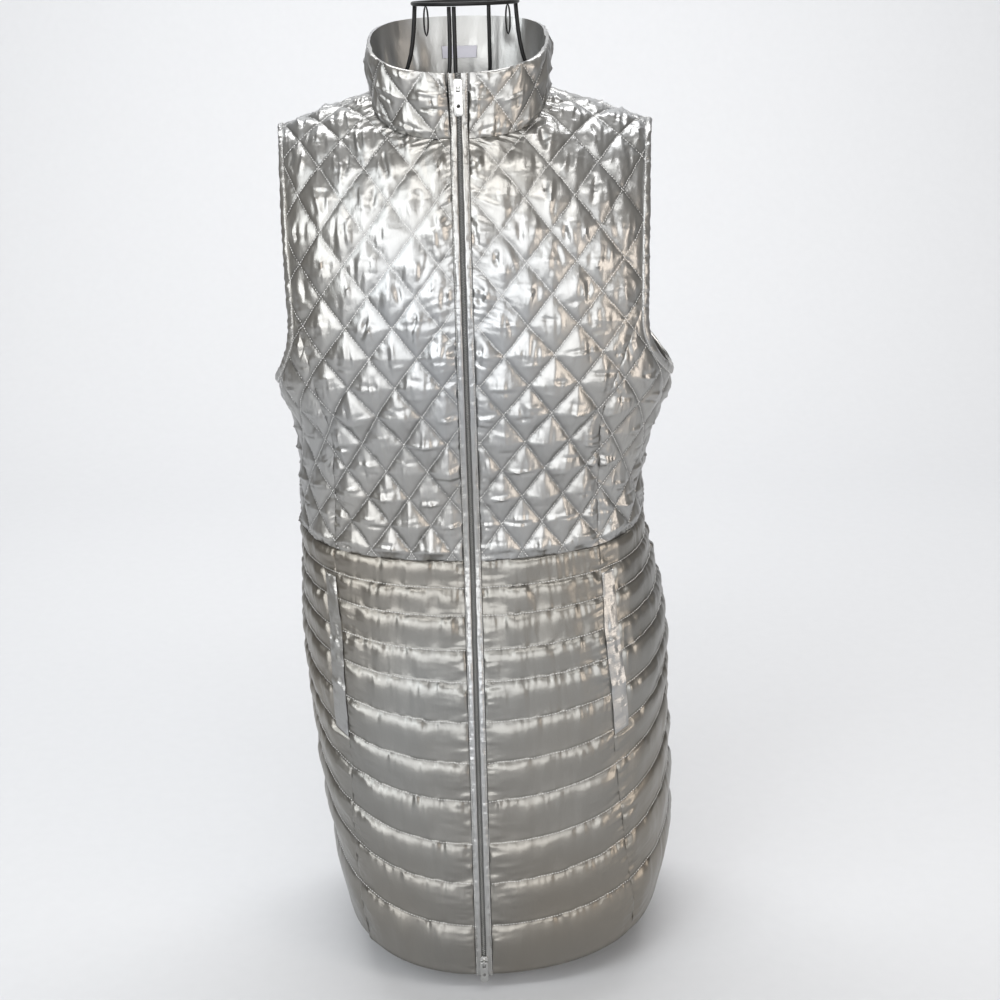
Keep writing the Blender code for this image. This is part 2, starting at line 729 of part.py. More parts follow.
def add_loft(name, rings, material):
    """Add a closed body through rings of points along its path."""
    count = len(rings[0])
    points = [point for ring in rings for point in ring]
    faces = [tuple(range(count))[::-1]]
    for i in range(len(rings) - 1):
        for j in range(count):
            k = (j + 1) % count
            low, high = i * count, (i + 1) * count
            faces.append((low + j, low + k, high + k, high + j))
    faces.append(tuple((len(rings) - 1) * count + j for j in range(count)))
    item = add_object(name, points, faces, material)
    shape = bmesh.new()
    shape.from_mesh(item.data)
    bmesh.ops.recalc_face_normals(shape, faces=shape.faces)
    shape.to_mesh(item.data)
    shape.free()
    return item


def collar_rings(count=49):
    """Return the collar's seam and top ring from the front round by the right."""
    seam, top = [], []
    bend = (COLLAR_TOP_FRONT - 2 * COLLAR_TOP_SIDE + COLLAR_TOP_BACK) / 4
    tilt = (COLLAR_TOP_BACK - COLLAR_TOP_FRONT) / 2
    for turn in np.linspace(0, 2 * math.pi, count):
        side, half_turn = (1, turn) if turn <= math.pi else (-1, 2 * math.pi - turn)
        x, height = neck_point(half_turn)
        column, up = cloth_at(side, x, height, half_turn > math.pi / 2)
        point = body_points(np.array([(side * column, up)]))[0]
        seam.append(point + (0, 0, COLLAR_LIFT))
        depth = COLLAR_FRONT if half_turn <= math.pi / 2 else COLLAR_BACK
        height = COLLAR_TOP_SIDE + bend - tilt * math.cos(half_turn) + bend * math.cos(2 * half_turn)
        top.append((side * COLLAR_HALF_WIDTH * section_x(half_turn), -depth * section_y(half_turn),
                    height))
    seam, top = np.array(seam), np.array(top)
    run = np.concatenate(([0], np.cumsum(np.linalg.norm(np.diff(seam + top, axis=0) / 2, axis=1))))
    return seam, top, run / COLUMN


COLLAR_SEAM, COLLAR_TOP, COLLAR_RUN = collar_rings()
COLLAR_HEIGHT = np.linalg.norm(COLLAR_TOP - COLLAR_SEAM, axis=1)


def collar_points(cloth):
    """Return the middle of the collar's wall at (columns round from the front, height)."""
    across = cloth[:, 0] % COLLAR_RUN[-1]
    seam = np.column_stack([np.interp(across, COLLAR_RUN, COLLAR_SEAM[:, k]) for k in range(3)])
    top = np.column_stack([np.interp(across, COLLAR_RUN, COLLAR_TOP[:, k]) for k in range(3)])
    height = np.interp(across, COLLAR_RUN, COLLAR_HEIGHT)
    return seam + (top - seam) * (cloth[:, 1] / height)[:, None]


def add_collar(material):
    """Add the stand collar, quilted in diamonds, from band to band round the back."""
    first = float(np.interp(BAND_OUTER, COLLAR_SEAM[:4, 0], COLLAR_RUN[:4]))
    around = np.linspace(first, COLLAR_RUN[-1] - first, 40)
    top = [(across, float(np.interp(across, COLLAR_RUN, COLLAR_HEIGHT))) for across in around]
    outline = join_lines((
        [(first, 0.0), (around[-1], 0.0)],
        [(around[-1], 0.0), top[-1]],
        top[::-1],
        [top[0], (first, 0.0)],
    ))
    add_diamond_panel("collar", outline, DIAMOND_PHASE[1], collar_points, COLLAR_WALL, material)


def add_bodice(material):
    """Add the bodice's five panels."""
    for side, name in ((-1, "left"), (1, "right")):
        for make, label in ((front_bodice, "front"), (side_bodice, "side")):
            outline = make(side)
            if side < 0:
                outline = outline[::-1] * (-1, 1)
            add_diamond_panel(f"bodice_{label}_{name}", outline, DIAMOND_PHASE[side], body_points,
                              WALL, material)
    add_diamond_panel("bodice_back", back_bodice(), 0.0, body_points, WALL, material)


def front_stations():
    """Return the zip's stations from hem to collar top, as (surface, up)."""
    neck = cloth_at(1, 0.0, FRONT_NECK)[1]
    body = np.linspace(HEM + SEAM_GAP, neck - NECK_CLEARANCE, FRONT_STATIONS)
    collar = np.linspace(NECK_CLEARANCE, COLLAR_HEIGHT[0] - SEAM_GAP, COLLAR_STATIONS)
    return [("body", up) for up in body] + [("collar", up) for up in collar]


def front_point(surface, up, x):
    """Return the wall's middle and its normal at a station, x metres from the centre front."""
    side = 1 if x >= 0 else -1
    if surface == "body":
        cloth, points_of = np.array([(x / front_column_width(side, up), up)]), body_points
    else:
        cloth, points_of = np.array([(x / COLUMN, up)]), collar_points
    return points_of(cloth)[0], surface_normals(points_of, cloth)[0]


def add_front_strip(name, profile, material):
    """Add a strip up the front whose section is a closed line of (x, how far out)."""
    rings = []
    for surface, up in front_stations():
        normal = front_point(surface, up, 0.0)[1]
        rings.append([front_point(surface, up, x)[0] + normal * out for x, out in profile])
    add_loft(name, rings, material)


def add_zip(satin_material, metal):
    """Add the bands, the closed chain on its tape, and the sliders with their pulls."""
    face, middle = WALL / 2, (BAND_INNER + BAND_OUTER) / 2
    outer = BAND_OUTER - PIECE_GAP / 2
    band = [(BAND_INNER, face), (BAND_INNER, -face), (outer, -face), (outer, face),
            (middle, face + BAND_LIFT)]
    add_front_strip("band_right", band, satin_material)
    add_front_strip("band_left", [(-x, out) for x, out in band], satin_material)
    high = -face - PIECE_GAP
    low = high - TAPE_THICKNESS
    tape, coil = BAND_OUTER - PIECE_GAP, COIL_HALF_WIDTH
    chain = [(-tape, high), (-tape, low), (tape, low), (tape, high),
             (coil, high), (coil, face), (-coil, face), (-coil, high)]
    add_front_strip("zip_chain", chain, metal)
    for name, height in (("top", TOP_SLIDER_HEIGHT), ("bottom", BOTTOM_SLIDER_HEIGHT)):
        frame = front_frame(height)
        add_slider(f"zip_slider_{name}", frame, metal)
        pivot = frame @ Matrix.Translation((0, -PIVOT_OUT, -PIVOT_DROP))
        add_pull(f"zip_pull_{name}", pivot, PULL_LENGTH[name], metal)


def front_frame(height):
    """Return the frame on the centre front at a height: X across, -Y out of the cloth, Z up it."""
    stations = front_stations()
    found = [front_point(surface, up, 0.0) for surface, up in stations]
    k = min(range(len(found)), key=lambda i: abs(found[i][0][2] - height))
    k = min(max(k, 1), len(found) - 2)
    heights = [point[2] for point, _ in found]
    point = [float(np.interp(height, heights, [p[axis] for p, _ in found])) for axis in range(3)]
    upward = Vector(found[k + 1][0] - found[k - 1][0]).normalized()
    across = Vector((1, 0, 0))
    frame = Matrix((across, upward.cross(across), upward)).transposed().to_4x4()
    return Matrix.Translation(point) @ frame


def plate(name, outline, near, far, material):
    """Add a plate from an outline of (x, z) points, anticlockwise as seen from -Y."""
    front = [(x, near, z) for x, z in outline]
    back = [(x, far, z) for x, z in outline]
    return add_loft(name, [back, front], material)


def cut_with(item, tool, operation):
    """Apply a Boolean of a tool to an item and remove the tool."""
    modifier = item.modifiers.new(operation.lower(), "BOOLEAN")
    modifier.operation = operation
    modifier.object = tool
    bpy.context.view_layer.update()
    shape = bpy.data.meshes.new_from_object(item.evaluated_get(bpy.context.evaluated_depsgraph_get()))
    item.modifiers.clear()
    item.data = shape
    bpy.data.objects.remove(tool)


def box(x, near, far, low, high, material):
    """Add a cutting box, x to each side."""
    return plate("tool", [(-x, low), (x, low), (x, high), (-x, high)], near, far, material)


def add_slider(name, frame, material):
    """Add a slider: a tapered plate with an arch that carries the pull."""
    w, h = SLIDER_HALF_WIDTH, SLIDER_HALF_LENGTH
    outline = [(-0.6 * w, -h), (0.6 * w, -h), (w, -0.2 * h), (w, 0.7 * h), (0.7 * w, h),
               (-0.7 * w, h), (-w, 0.7 * h), (-w, -0.2 * h)]
    slider = plate(name, outline, -SLIDER_FRONT, -SLIDER_BACK, material)
    arch = box(ARCH_HALF_WIDTH, -ARCH_FRONT, -(SLIDER_BACK + SLIDER_FRONT) / 2,
               -ARCH_HALF_LENGTH, ARCH_HALF_LENGTH, material)
    cut_with(slider, arch, "UNION")
    near, far, half = ARCH_WINDOW
    cut_with(slider, box(2 * w, -far, -near, -half, half, material), "DIFFERENCE")
    slider.matrix_world = frame


def add_pull(name, pivot, length, material):
    """Add a pull tab that hangs from its pivot, with an eye round the arch and a hole below."""
    w, t = PULL_HALF_WIDTH, PULL_HALF_THICKNESS
    outline = [(-0.6 * w, -length), (0.6 * w, -length), (w, 0.5 * w - length), (w, t), (-w, t),
               (-w, 0.5 * w - length)]
    pull = plate(name, outline, -t, t, material)
    eye, reach = PULL_EYE
    cut_with(pull, box(eye, -2 * t, 2 * t, -reach, -t, material), "DIFFERENCE")
    hole = PULL_HOLE_RADIUS
    middle = 2.2 * w - length
    octagon = [(hole * math.cos(k * math.pi / 4), middle + hole * math.sin(k * math.pi / 4))
               for k in range(8)]
    cut_with(pull, plate("tool", octagon, -2 * t, 2 * t, material), "DIFFERENCE")
    pull.matrix_world = pivot


def add_wire(name, points, radius, material, closed=False):
    """Add a round wire along a line of points."""
    curve = bpy.data.curves.new(name, "CURVE")
    curve.dimensions = "3D"
    curve.bevel_depth = radius
    curve.bevel_resolution = 1
    curve.use_fill_caps = True
    spline = curve.splines.new("POLY")
    spline.points.add(len(points) - 1)
    for target, point in zip(spline.points, points):
        target.co = (*point, 1.0)
    spline.use_cyclic_u = closed
    curve.materials.append(material)
    wire = bpy.data.objects.new(name, curve)
    bpy.context.collection.objects.link(wire)
    return wire


def cage_point(column, up, inset=CAGE_INSET):
    """Return a point inside the garment, an inset from the middle of its wall."""
    cloth = np.array([(column, up)])
    return body_points(cloth)[0] - surface_normals(body_points, cloth)[0] * inset


def level_point(column, height, inset=CAGE_INSET):
    """Return a point inside the garment at a true height."""
    up = height
    for _ in range(8):
        up += height - cage_point(column, up, inset)[2]
    x, y, _ = cage_point(column, up, inset)
    return x, y, height


def ring_points(height, inset, count):
    """Return a level ring inside the garment."""
    columns = np.linspace(0, 2 * CENTRE_BACK, count, endpoint=False)
    return [level_point(column, height, inset) for column in columns]


def circle(radius, count):
    """Return the points of a circle round nought, from the front round by the right."""
    turns = np.linspace(0, 2 * math.pi, count, endpoint=False)
    return [(radius * math.sin(turn), -radius * math.cos(turn)) for turn in turns]


def smooth_route(points, count):
    """Return an even line of points along a smooth curve through a few chosen points."""
    points = np.array(points, float)
    run = np.concatenate(([0], np.cumsum(np.linalg.norm(np.diff(points, axis=0), axis=1))))
    curves = [through(run, points[:, axis]) for axis in range(3)]
    stations = np.linspace(0, run[-1], count)
    return [tuple(float(curve(station)) for curve in curves) for station in stations]


def add_neck(material):
    """Add the form's neck ring and the two thin loops that hang from it."""
    ring = [(FORM_X + x, y, NECK_RING_HEIGHT) for x, y in circle(NECK_RING_RADIUS, 24)]
    add_wire("form_neck_ring", ring, WIRE_RADIUS, material, closed=True)
    top = NECK_RING_HEIGHT - WIRE_RADIUS - LOOP_WIRE_RADIUS - PIECE_GAP
    for name, x in LOOP_X.items():
        y = math.sqrt(NECK_RING_RADIUS ** 2 - x ** 2)
        loop = [(FORM_X + x + LOOP_HALF_WIDTH * across, y, top - LOOP_HALF_HEIGHT * (1 + drop))
                for across, drop in circle(1.0, 12)]
        add_wire(f"form_loop_{name}", loop, LOOP_WIRE_RADIUS, material, closed=True)


def under_neck(x, front):
    """Return a wire's start under the neck ring and the way straight down from it."""
    y = math.sqrt(NECK_RING_RADIUS ** 2 - x ** 2) * (-1 if front else 1)
    start = NECK_RING_HEIGHT - WIRE_RADIUS - PIECE_GAP
    return [(FORM_X + x, y, height) for height in (start, *NECK_LEVELS)]


def down_to_foot(column, levels):
    """Return the way down inside the cloth at a column, to the top of the base ring."""
    base = FOOT_HEIGHT + PIECE_GAP + WIRE_RADIUS
    x, y, _ = level_point(column, base, BASE_INSET)
    drawn = [level_point(column, level, inset) for level, inset in DRAW_IN]
    end = (x, y, base + WIRE_RADIUS + 2 * PIECE_GAP)
    return [level_point(column, level) for level in levels] + drawn + [end]


def add_cage(material):
    """Add the form's upright wires, its rings and its feet."""
    for name, x in FRONT_WIRE_X.items():
        column = (FORM_X + x) / front_column_width(1, WAIST) - FRONT_WIRE_SPREAD[name]
        route = smooth_route(under_neck(x, True) + down_to_foot(column, CAGE_LEVELS), FRONT_WIRE_POINTS)
        add_wire(f"form_front_wire_{name}", route, WIRE_RADIUS, material)
    route = under_neck(BACK_WIRE_X, False)
    route.append(level_point(BACK_WIRE_COLUMN, CAGE_LEVELS[0], 2 * CAGE_INSET))
    route += down_to_foot(BACK_WIRE_COLUMN, CAGE_LEVELS[1:])
    add_wire("form_back_wire", smooth_route(route, CAGE_WIRE_POINTS), WIRE_RADIUS, material)
    for side, name in ((-1, "left"), (1, "right")):
        for back, label in ((False, "front"), (True, "back")):
            add_side_wire(f"form_{name}_wire_{label}", side, back, material)
    inset = CAGE_INSET + 2 * WIRE_RADIUS + 2 * PIECE_GAP
    for name, height in RING_HEIGHT.items():
        ring = ring_points(height, inset, RING_POINTS)
        add_wire(f"form_{name}_ring", ring, WIRE_RADIUS, material, closed=True)
    base = FOOT_HEIGHT + PIECE_GAP + WIRE_RADIUS
    ring = ring_points(base, BASE_INSET, BASE_RING_POINTS)
    add_wire("form_base_ring", ring, WIRE_RADIUS, material, closed=True)
    for k, column in enumerate(FOOT_COLUMNS, 1):
        x, y, _ = level_point(column, base, BASE_INSET)
        rings = [[(x + a, y + b, z) for a, b in circle(FOOT_RADIUS, 12)] for z in (0.0, FOOT_HEIGHT)]
        add_loft(f"form_foot_{k}", rings, material)


def add_side_wire(name, side, back, material):
    """Add an upright wire that carries the cloth under the shoulder seam, then runs down inside it."""
    lean = 1 if back else -1
    x, y = FORM_X + side * SIDE_WIRE_X, lean * SIDE_WIRE_Y
    route = [(x, y, NECK_RING_HEIGHT - WIRE_RADIUS - PIECE_GAP)]
    route += [(x + side * out, y, level) for out, level in SIDE_WIRE_NECK]
    rest = WALL / 2 + WIRE_RADIUS + SHOULDER_REST
    for width in SHOULDER_WIDTHS:
        column, up = cloth_at(side, width, back=back)
        route.append(tuple(cage_point(side * column, up - SHOULDER_STEP_BACK, rest)))
    column = CENTRE_BACK - SIDE_WIRE_COLUMN if back else SIDE_WIRE_COLUMN
    route += down_to_foot(side * column, CAGE_LEVELS)
    add_wire(name, smooth_route(route, CAGE_WIRE_POINTS), WIRE_RADIUS, material)


def centre_on_floor():
    """Move every piece so that the origin is on the floor under the middle of the part's box."""
    bpy.context.view_layer.update()
    corners = [item.matrix_world @ Vector(corner) for item in bpy.data.objects
               for corner in item.bound_box]
    shift = [-(min(c[axis] for c in corners) + max(c[axis] for c in corners)) / 2 for axis in (0, 1)]
    for item in bpy.data.objects:
        item.location += Vector((*shift, 0.0))


def main():
    """Build the vest and its form."""
    for item in list(bpy.data.objects):
        bpy.data.objects.remove(item)
    cloth = satin("silver_satin")
    metal = plain_material("zip_metal", METAL, METAL_ROUGHNESS, 1.0)
    wire = plain_material("black_wire", WIRE_COLOUR, WIRE_ROUGHNESS, 0.0)
    add_bodice(cloth)
    add_skirt(cloth)
    for side, name in ((-1, "left"), (1, "right")):
        add_welt(side, f"pocket_welt_{name}", cloth)
    add_collar(cloth)
    add_zip(cloth, metal)
    add_neck(wire)
    add_cage(wire)
    centre_on_floor()


main()
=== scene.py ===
"""A long quilted satin vest on a black wire dress form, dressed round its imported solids.

The vest is a flat pattern wrapped round a figure. A point of the cloth is (across, up): across
counts quilting columns from the centre front, minus to the left as the front is looked at, with
the side seams at 6 and the centre back at 12. Up is the height of the level, and goes on as length
along the cloth where it bends over the shoulder. Metres, +Z up, and the front faces -Y.
"""

import logging
import math
from collections.abc import Callable, Sequence
from dataclasses import dataclass, field
from enum import Enum
from typing import Any

import bmesh
import bpy
import numpy as np
from mathutils import Euler, Matrix, Vector
from mathutils.bvhtree import BVHTree


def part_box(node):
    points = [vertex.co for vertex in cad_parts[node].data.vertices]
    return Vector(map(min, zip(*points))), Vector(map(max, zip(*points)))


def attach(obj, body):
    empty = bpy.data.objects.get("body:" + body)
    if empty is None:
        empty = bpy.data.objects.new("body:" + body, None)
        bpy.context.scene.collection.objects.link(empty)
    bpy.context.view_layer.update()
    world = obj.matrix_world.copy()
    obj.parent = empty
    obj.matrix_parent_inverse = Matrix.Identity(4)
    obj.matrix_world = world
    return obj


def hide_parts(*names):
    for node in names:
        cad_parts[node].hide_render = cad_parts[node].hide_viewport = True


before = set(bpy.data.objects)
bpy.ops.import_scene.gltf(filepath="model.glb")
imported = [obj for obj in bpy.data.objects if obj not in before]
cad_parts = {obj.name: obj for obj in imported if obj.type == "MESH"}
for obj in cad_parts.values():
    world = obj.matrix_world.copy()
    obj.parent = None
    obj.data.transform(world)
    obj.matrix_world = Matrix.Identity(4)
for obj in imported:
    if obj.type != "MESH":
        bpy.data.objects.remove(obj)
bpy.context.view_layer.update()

Array = np.ndarray
Line = list[tuple[float, float]]
Pairs = tuple[tuple[float, float], ...]
Place = tuple[float, float, float]
PointsOf = Callable[[Array], Array]
Press = Callable[[Array, Array], Array]
LOG = logging.getLogger("vest")

BODY = "vest_on_form"
SATIN_SLOT = "silver_satin"
METAL_SLOT = "zip_metal"
WIRE_SLOT = "black_wire"

# Levels of the garment and the line of its shoulders, as in the part's source
HEM = 0.022
WAIST = 0.467
UNDERARM = 0.642
FRONT_NECK = 0.884
BACK_NECK = 0.917
NECK_HALF_WIDTH = 0.084
SHOULDER_PEAK = 0.953
SHOULDER_SLOPE = 0.335
SHOULDER_ROUND = 0.020
SHOULDER_DROP = 0.120
SHOULDER_TIP = {-1: 0.1825, 1: 0.1915}
SIDE_SEAM = 6.0
CENTRE_BACK = 12.0
COLUMNS_FROZEN = 0.720
SQUARENESS = 0.05
WALL = 0.0020
COLUMN = 0.0455
FLAT = (COLUMN, 1.0)  # metres to one of a cloth point's across and up
DIAMOND_HEIGHT = 0.059
DIAMOND_LEVEL = 0.741
DIAMOND_PHASE = {-1: 0.0, 1: 0.75}
COUNT_SLOPE = math.hypot(1 / COLUMN, 1 / DIAMOND_HEIGHT)  # diamonds to a metre across their lines
CHANNEL_SEAMS = (HEM, 0.081, 0.130, 0.174, 0.221, 0.262, 0.305, 0.346, 0.378, 0.412, 0.440, WAIST)
BAND_INNER = 0.0030
BAND_OUTER = 0.0092
FORM_X = 0.008
NORMAL_SPAN = (0.03, 0.0012)  # how far across and up a surface's normal is measured
COARSE = 4  # a lining's step in steps of the outer cloth, and what a grid's steps come in
MERGE = 1e-5  # distance at which two points of a CAD mesh are the same

# Each section's level, half width left and right, depth before and behind, and climb at the sides
SECTIONS = (
    (HEM, 0.1545, 0.1985, 0.174, 0.138, 0.048),
    (0.054, 0.1605, 0.2070, 0.175, 0.139, 0.066),
    (0.103, 0.1675, 0.2080, 0.174, 0.140, 0.077),
    (0.152, 0.1735, 0.2070, 0.171, 0.140, 0.080),
    (0.220, 0.1785, 0.2045, 0.164, 0.139, 0.072),
    (0.330, 0.1835, 0.2025, 0.149, 0.134, 0.048),
    (0.400, 0.1820, 0.1910, 0.132, 0.122, 0.031),
    (WAIST, 0.1800, 0.1790, 0.115, 0.110, 0.018),
    (0.550, 0.1765, 0.1805, 0.119, 0.106, 0.004),
    (0.596, 0.1790, 0.1945, 0.126, 0.109, 0.001),
    (0.642, 0.1970, 0.2110, 0.133, 0.112, 0.000),
    (0.720, 0.200, 0.214, 0.133, 0.118, 0.000),
    (0.800, 0.200, 0.214, 0.119, 0.116, 0.000),
    (0.884, 0.200, 0.214, 0.096, 0.104, 0.000),
    (0.950, 0.200, 0.214, 0.084, 0.096, 0.000),
)
# The princess seams' columns at a level, left and right
PRINCESS = (
    (HEM, 2.92, 3.25),
    (0.105, 2.91, 2.98),
    (0.180, 2.88, 2.88),
    (0.265, 2.89, 2.83),
    (0.368, 3.08, 2.87),
    (WAIST, 3.50, 3.20),
    (0.550, 3.40, 3.14),
    (0.625, 3.27, 2.90),
    (0.680, 3.40, 3.25),
    (0.735, 3.90, 3.84),
)
ARMHOLE_FRONT = {-1: 3.95, 1: 3.84}
ARMHOLE_BACK = 8.10
ARMHOLE_BEND = 0.705


def through(levels: Sequence[float], values: Sequence[float]) -> Callable[[Array], Array]:
    """Make a smooth function of height that passes through the values.

    Args:
        levels: Rising heights.
        values: The value at each height.

    Returns:
        The function.
    """
    levels, values = np.array(levels, float), np.array(values, float)
    slopes = np.gradient(values, levels)

    def at(level: Array) -> Array:
        """Return the value at a height."""
        level = np.clip(level, levels[0], levels[-1])
        i = np.clip(np.searchsorted(levels, level) - 1, 0, len(levels) - 2)
        step = levels[i + 1] - levels[i]
        t = (level - levels[i]) / step
        bend = step * t * (1 - t) * (slopes[i] * (1 - t) - slopes[i + 1] * t)
        return values[i] * (1 + 2 * t) * (1 - t) ** 2 + values[i + 1] * t * t * (3 - 2 * t) + bend

    return at


def chance(i: Array, j: Array, seed: int) -> Array:
    """Return an even random number from 0 to 1 for each whole pair, the same in every run.

    Args:
        i: First whole numbers.
        j: Second whole numbers.
        seed: Chooses another set of numbers.

    Returns:
        The numbers.
    """
    n = np.asarray(i).astype(np.int64) * 374761393 + np.asarray(j).astype(np.int64) * 668265263
    n = (n + seed * 144664963) & 0xFFFFFFFF
    n = ((n ^ (n >> 13)) * 1274126177) & 0xFFFFFFFF
    return ((n ^ (n >> 16)) & 0xFFFF) / 65535.0


def ripple(x: Array, y: Array, seed: int) -> Array:
    """Return smooth random waves from -1 to 1 that turn once or so in each unit of x and y.

    Args:
        x: Places along the first axis.
        y: Places along the second axis.
        seed: Chooses another set of waves.

    Returns:
        The waves' height.
    """
    x, y = np.broadcast_arrays(x, y)
    i, j = np.floor(x), np.floor(y)
    a, b = x - i, y - j
    a, b = (t * t * t * (t * (t * 6 - 15) + 10) for t in (a, b))
    low = chance(i, j, seed) * (1 - a) + chance(i + 1, j, seed) * a
    high = chance(i, j + 1, seed) * (1 - a) + chance(i + 1, j + 1, seed) * a
    return 2 * (low * (1 - b) + high * b) - 1


def run_of(line: Array) -> Array:
    """Return how far along a line each of its points lies."""
    return np.concatenate(([0], np.cumsum(np.linalg.norm(np.diff(line, axis=0), axis=1))))


def quads(grid: Array) -> Array:
    """Return the faces of a grid of point numbers."""
    return np.stack((grid[:-1, :-1], grid[:-1, 1:], grid[1:, 1:], grid[1:, :-1]), -1).reshape(-1, 4)


@dataclass
class Figure:
    """The figure that the cloth is wrapped round.

    Attributes:
        shift: How far the frame lies from the figure's own middle, across and back.
        levels: The heights that its sections are measured at.
        turns: The turns from the front that a section is measured at.
        columns: The columns whose turns are kept.
    """

    shift: tuple[float, float]
    levels: Array = field(default_factory=lambda: np.linspace(HEM, COLUMNS_FROZEN, 120))
    turns: Array = field(default_factory=lambda: np.linspace(0, math.pi, 361))
    columns: Array = field(default_factory=lambda: np.linspace(0, CENTRE_BACK, 481))

    def __post_init__(self) -> None:
        """Measure the sections, right and left."""
        levels, *columns = zip(*SECTIONS)
        left, right, self.front, self.back, self.rise = (through(levels, values) for values in columns)
        self.half = {-1: left, 1: right}
        self.measures = {side: self._measure(side) for side in (-1, 1)}

    @staticmethod
    def x_share(turn: Array) -> Array:
        """Return the share of a section's half width at a turn from the front."""
        return (np.sin(turn) + SQUARENESS * np.sin(3 * turn)) / (1 - SQUARENESS)

    @staticmethod
    def y_share(turn: Array) -> Array:
        """Return the share of a section's depth at a turn from the front."""
        return (np.cos(turn) - SQUARENESS * np.cos(3 * turn)) / (1 - SQUARENESS)

    def depth(self, turn: Array, level: Array) -> Array:
        """Return the depth of the front or back half of a section."""
        return np.where(turn <= math.pi / 2, self.front(level), self.back(level))

    def _measure(self, side: int) -> tuple[Array, Array]:
        """Return the turn of each column and the front columns' width, at each level.

        Args:
            side: -1 for the left, 1 for the right.

        Returns:
            The turns, a row for each level, and the widths.
        """
        turns, widths = [], []
        middle = len(self.turns) // 2
        for level in self.levels:
            x = self.half[side](level) * self.x_share(self.turns)
            y = self.depth(self.turns, level) * self.y_share(self.turns)
            run = np.concatenate(([0], np.cumsum(np.hypot(np.diff(x), np.diff(y)))))
            front, back = run[middle], run[-1] - run[middle]
            share = np.where(self.turns <= math.pi / 2, run / front, 1 + (run - front) / back)
            turns.append(np.interp(self.columns, share * SIDE_SEAM, self.turns))
            widths.append(front / SIDE_SEAM)
        return np.array(turns), np.array(widths)

    def turn(self, side: int, columns: Array, up: Array) -> Array:
        """Return the turn from the front at columns and levels.

        Args:
            side: -1 for the left, 1 for the right.
            columns: Columns from the centre front.
            up: Levels.

        Returns:
            The turns.
        """
        row = np.clip((up - HEM) / (COLUMNS_FROZEN - HEM), 0, 1) * (len(self.levels) - 1)
        column = np.clip(columns / CENTRE_BACK, 0, 1) * (len(self.columns) - 1)
        i = np.minimum(row.astype(int), len(self.levels) - 2)
        j = np.minimum(column.astype(int), len(self.columns) - 2)
        a, b = row - i, column - j
        turns = self.measures[side][0]
        lower = turns[i, j] * (1 - b) + turns[i, j + 1] * b
        upper = turns[i + 1, j] * (1 - b) + turns[i + 1, j + 1] * b
        return lower * (1 - a) + upper * a

    def column_width(self, side: int, up: Array) -> Array:
        """Return the width of a column beside the zip."""
        return np.interp(up, self.levels, self.measures[side][1])

    def shoulder(self, x: Array, turn: Array) -> tuple[Array, Array]:
        """Return where the cloth starts to bend over the shoulder, and its length from there.

        Args:
            x: Half widths from the centre front.
            turn: Turns from the front.

        Returns:
            The bend's level and the length.
        """
        bend = SHOULDER_PEAK - SHOULDER_SLOPE * np.hypot(x, SHOULDER_ROUND) - SHOULDER_DROP
        depth = np.abs(self.depth(turn, bend) * self.y_share(turn))
        a, b = SHOULDER_DROP, depth
        length = math.pi / 4 * (3 * (a + b) - np.sqrt((3 * a + b) * (a + 3 * b)))
        return bend, length

    def points(self, cloth: Array) -> Array:
        """Return the middle of the wall at cloth points.

        Args:
            cloth: Points of the pattern, (across, up) in the last axis.

        Returns:
            Their places in the frame.
        """
        flat = cloth.reshape(-1, 2)
        across = (flat[:, 0] + CENTRE_BACK) % (2 * CENTRE_BACK) - CENTRE_BACK
        up = flat[:, 1]
        right, columns = across >= 0, np.abs(across)
        turn = np.where(right, self.turn(1, columns, up), self.turn(-1, columns, up))
        half = np.where(right, self.half[1](up), -self.half[-1](up))
        x = half * self.x_share(turn)
        bend, length = self.shoulder(x, turn)
        lean = np.clip((up - bend) / length, 0, 1.2) * math.pi / 2
        level = np.where(up < bend, up, bend + SHOULDER_DROP * np.sin(lean))
        y = -self.depth(turn, level) * self.y_share(turn) * np.cos(lean)
        z = level + self.rise(up) * np.sin(turn) ** 2
        place = np.column_stack((x + self.shift[0], y + self.shift[1], z))
        return place.reshape(*cloth.shape[:-1], 3)

    def column_of(self, side: int, x: float, back: bool = False) -> float:
        """Return the column of the chest whose cloth lies at half width x.

        Args:
            side: -1 for the left, 1 for the right.
            x: Half width from the centre front.
            back: Whether it is on the back.

        Returns:
            The column.
        """
        quarter = np.linspace(0, math.pi / 2, 181)
        turn = np.interp(x / self.half[side](COLUMNS_FROZEN), self.x_share(quarter), quarter)
        if back:
            turn = math.pi - turn
        return float(np.interp(turn, self.measures[side][0][-1], self.columns))

    def cloth_at(self, side: int, x: float, height: float | None = None,
                 back: bool = False) -> tuple[float, float]:
        """Return the cloth point at half width x and a height, or on the shoulder's ridge.

        Args:
            side: -1 for the left, 1 for the right.
            x: Half width from the centre front.
            height: Height, or None for the ridge.
            back: Whether the point is on the back.

        Returns:
            Across and up, with across counted on the right.
        """
        column = self.column_of(side, x, back)
        turn = self.turn(side, np.array([column]), np.array([COLUMNS_FROZEN]))[0]
        bend, length = self.shoulder(x, turn)
        lean = 1.0
        if height is not None:
            lean = math.asin(min(1.0, (height - bend) / SHOULDER_DROP)) / (math.pi / 2)
        return column, float(bend + length * lean)


def normals_of(points_of: PointsOf, cloth: Array) -> Array:
    """Return the outward unit normals of a surface at cloth points.

    Args:
        points_of: The surface.
        cloth: Cloth points.

    Returns:
        The normals.
    """
    right, upward = np.diag(NORMAL_SPAN)
    run = points_of(cloth + right) - points_of(cloth - right)
    rise = points_of(cloth + upward) - points_of(cloth - upward)
    normal = np.cross(run, rise)
    return normal / np.linalg.norm(normal, axis=-1, keepdims=True)


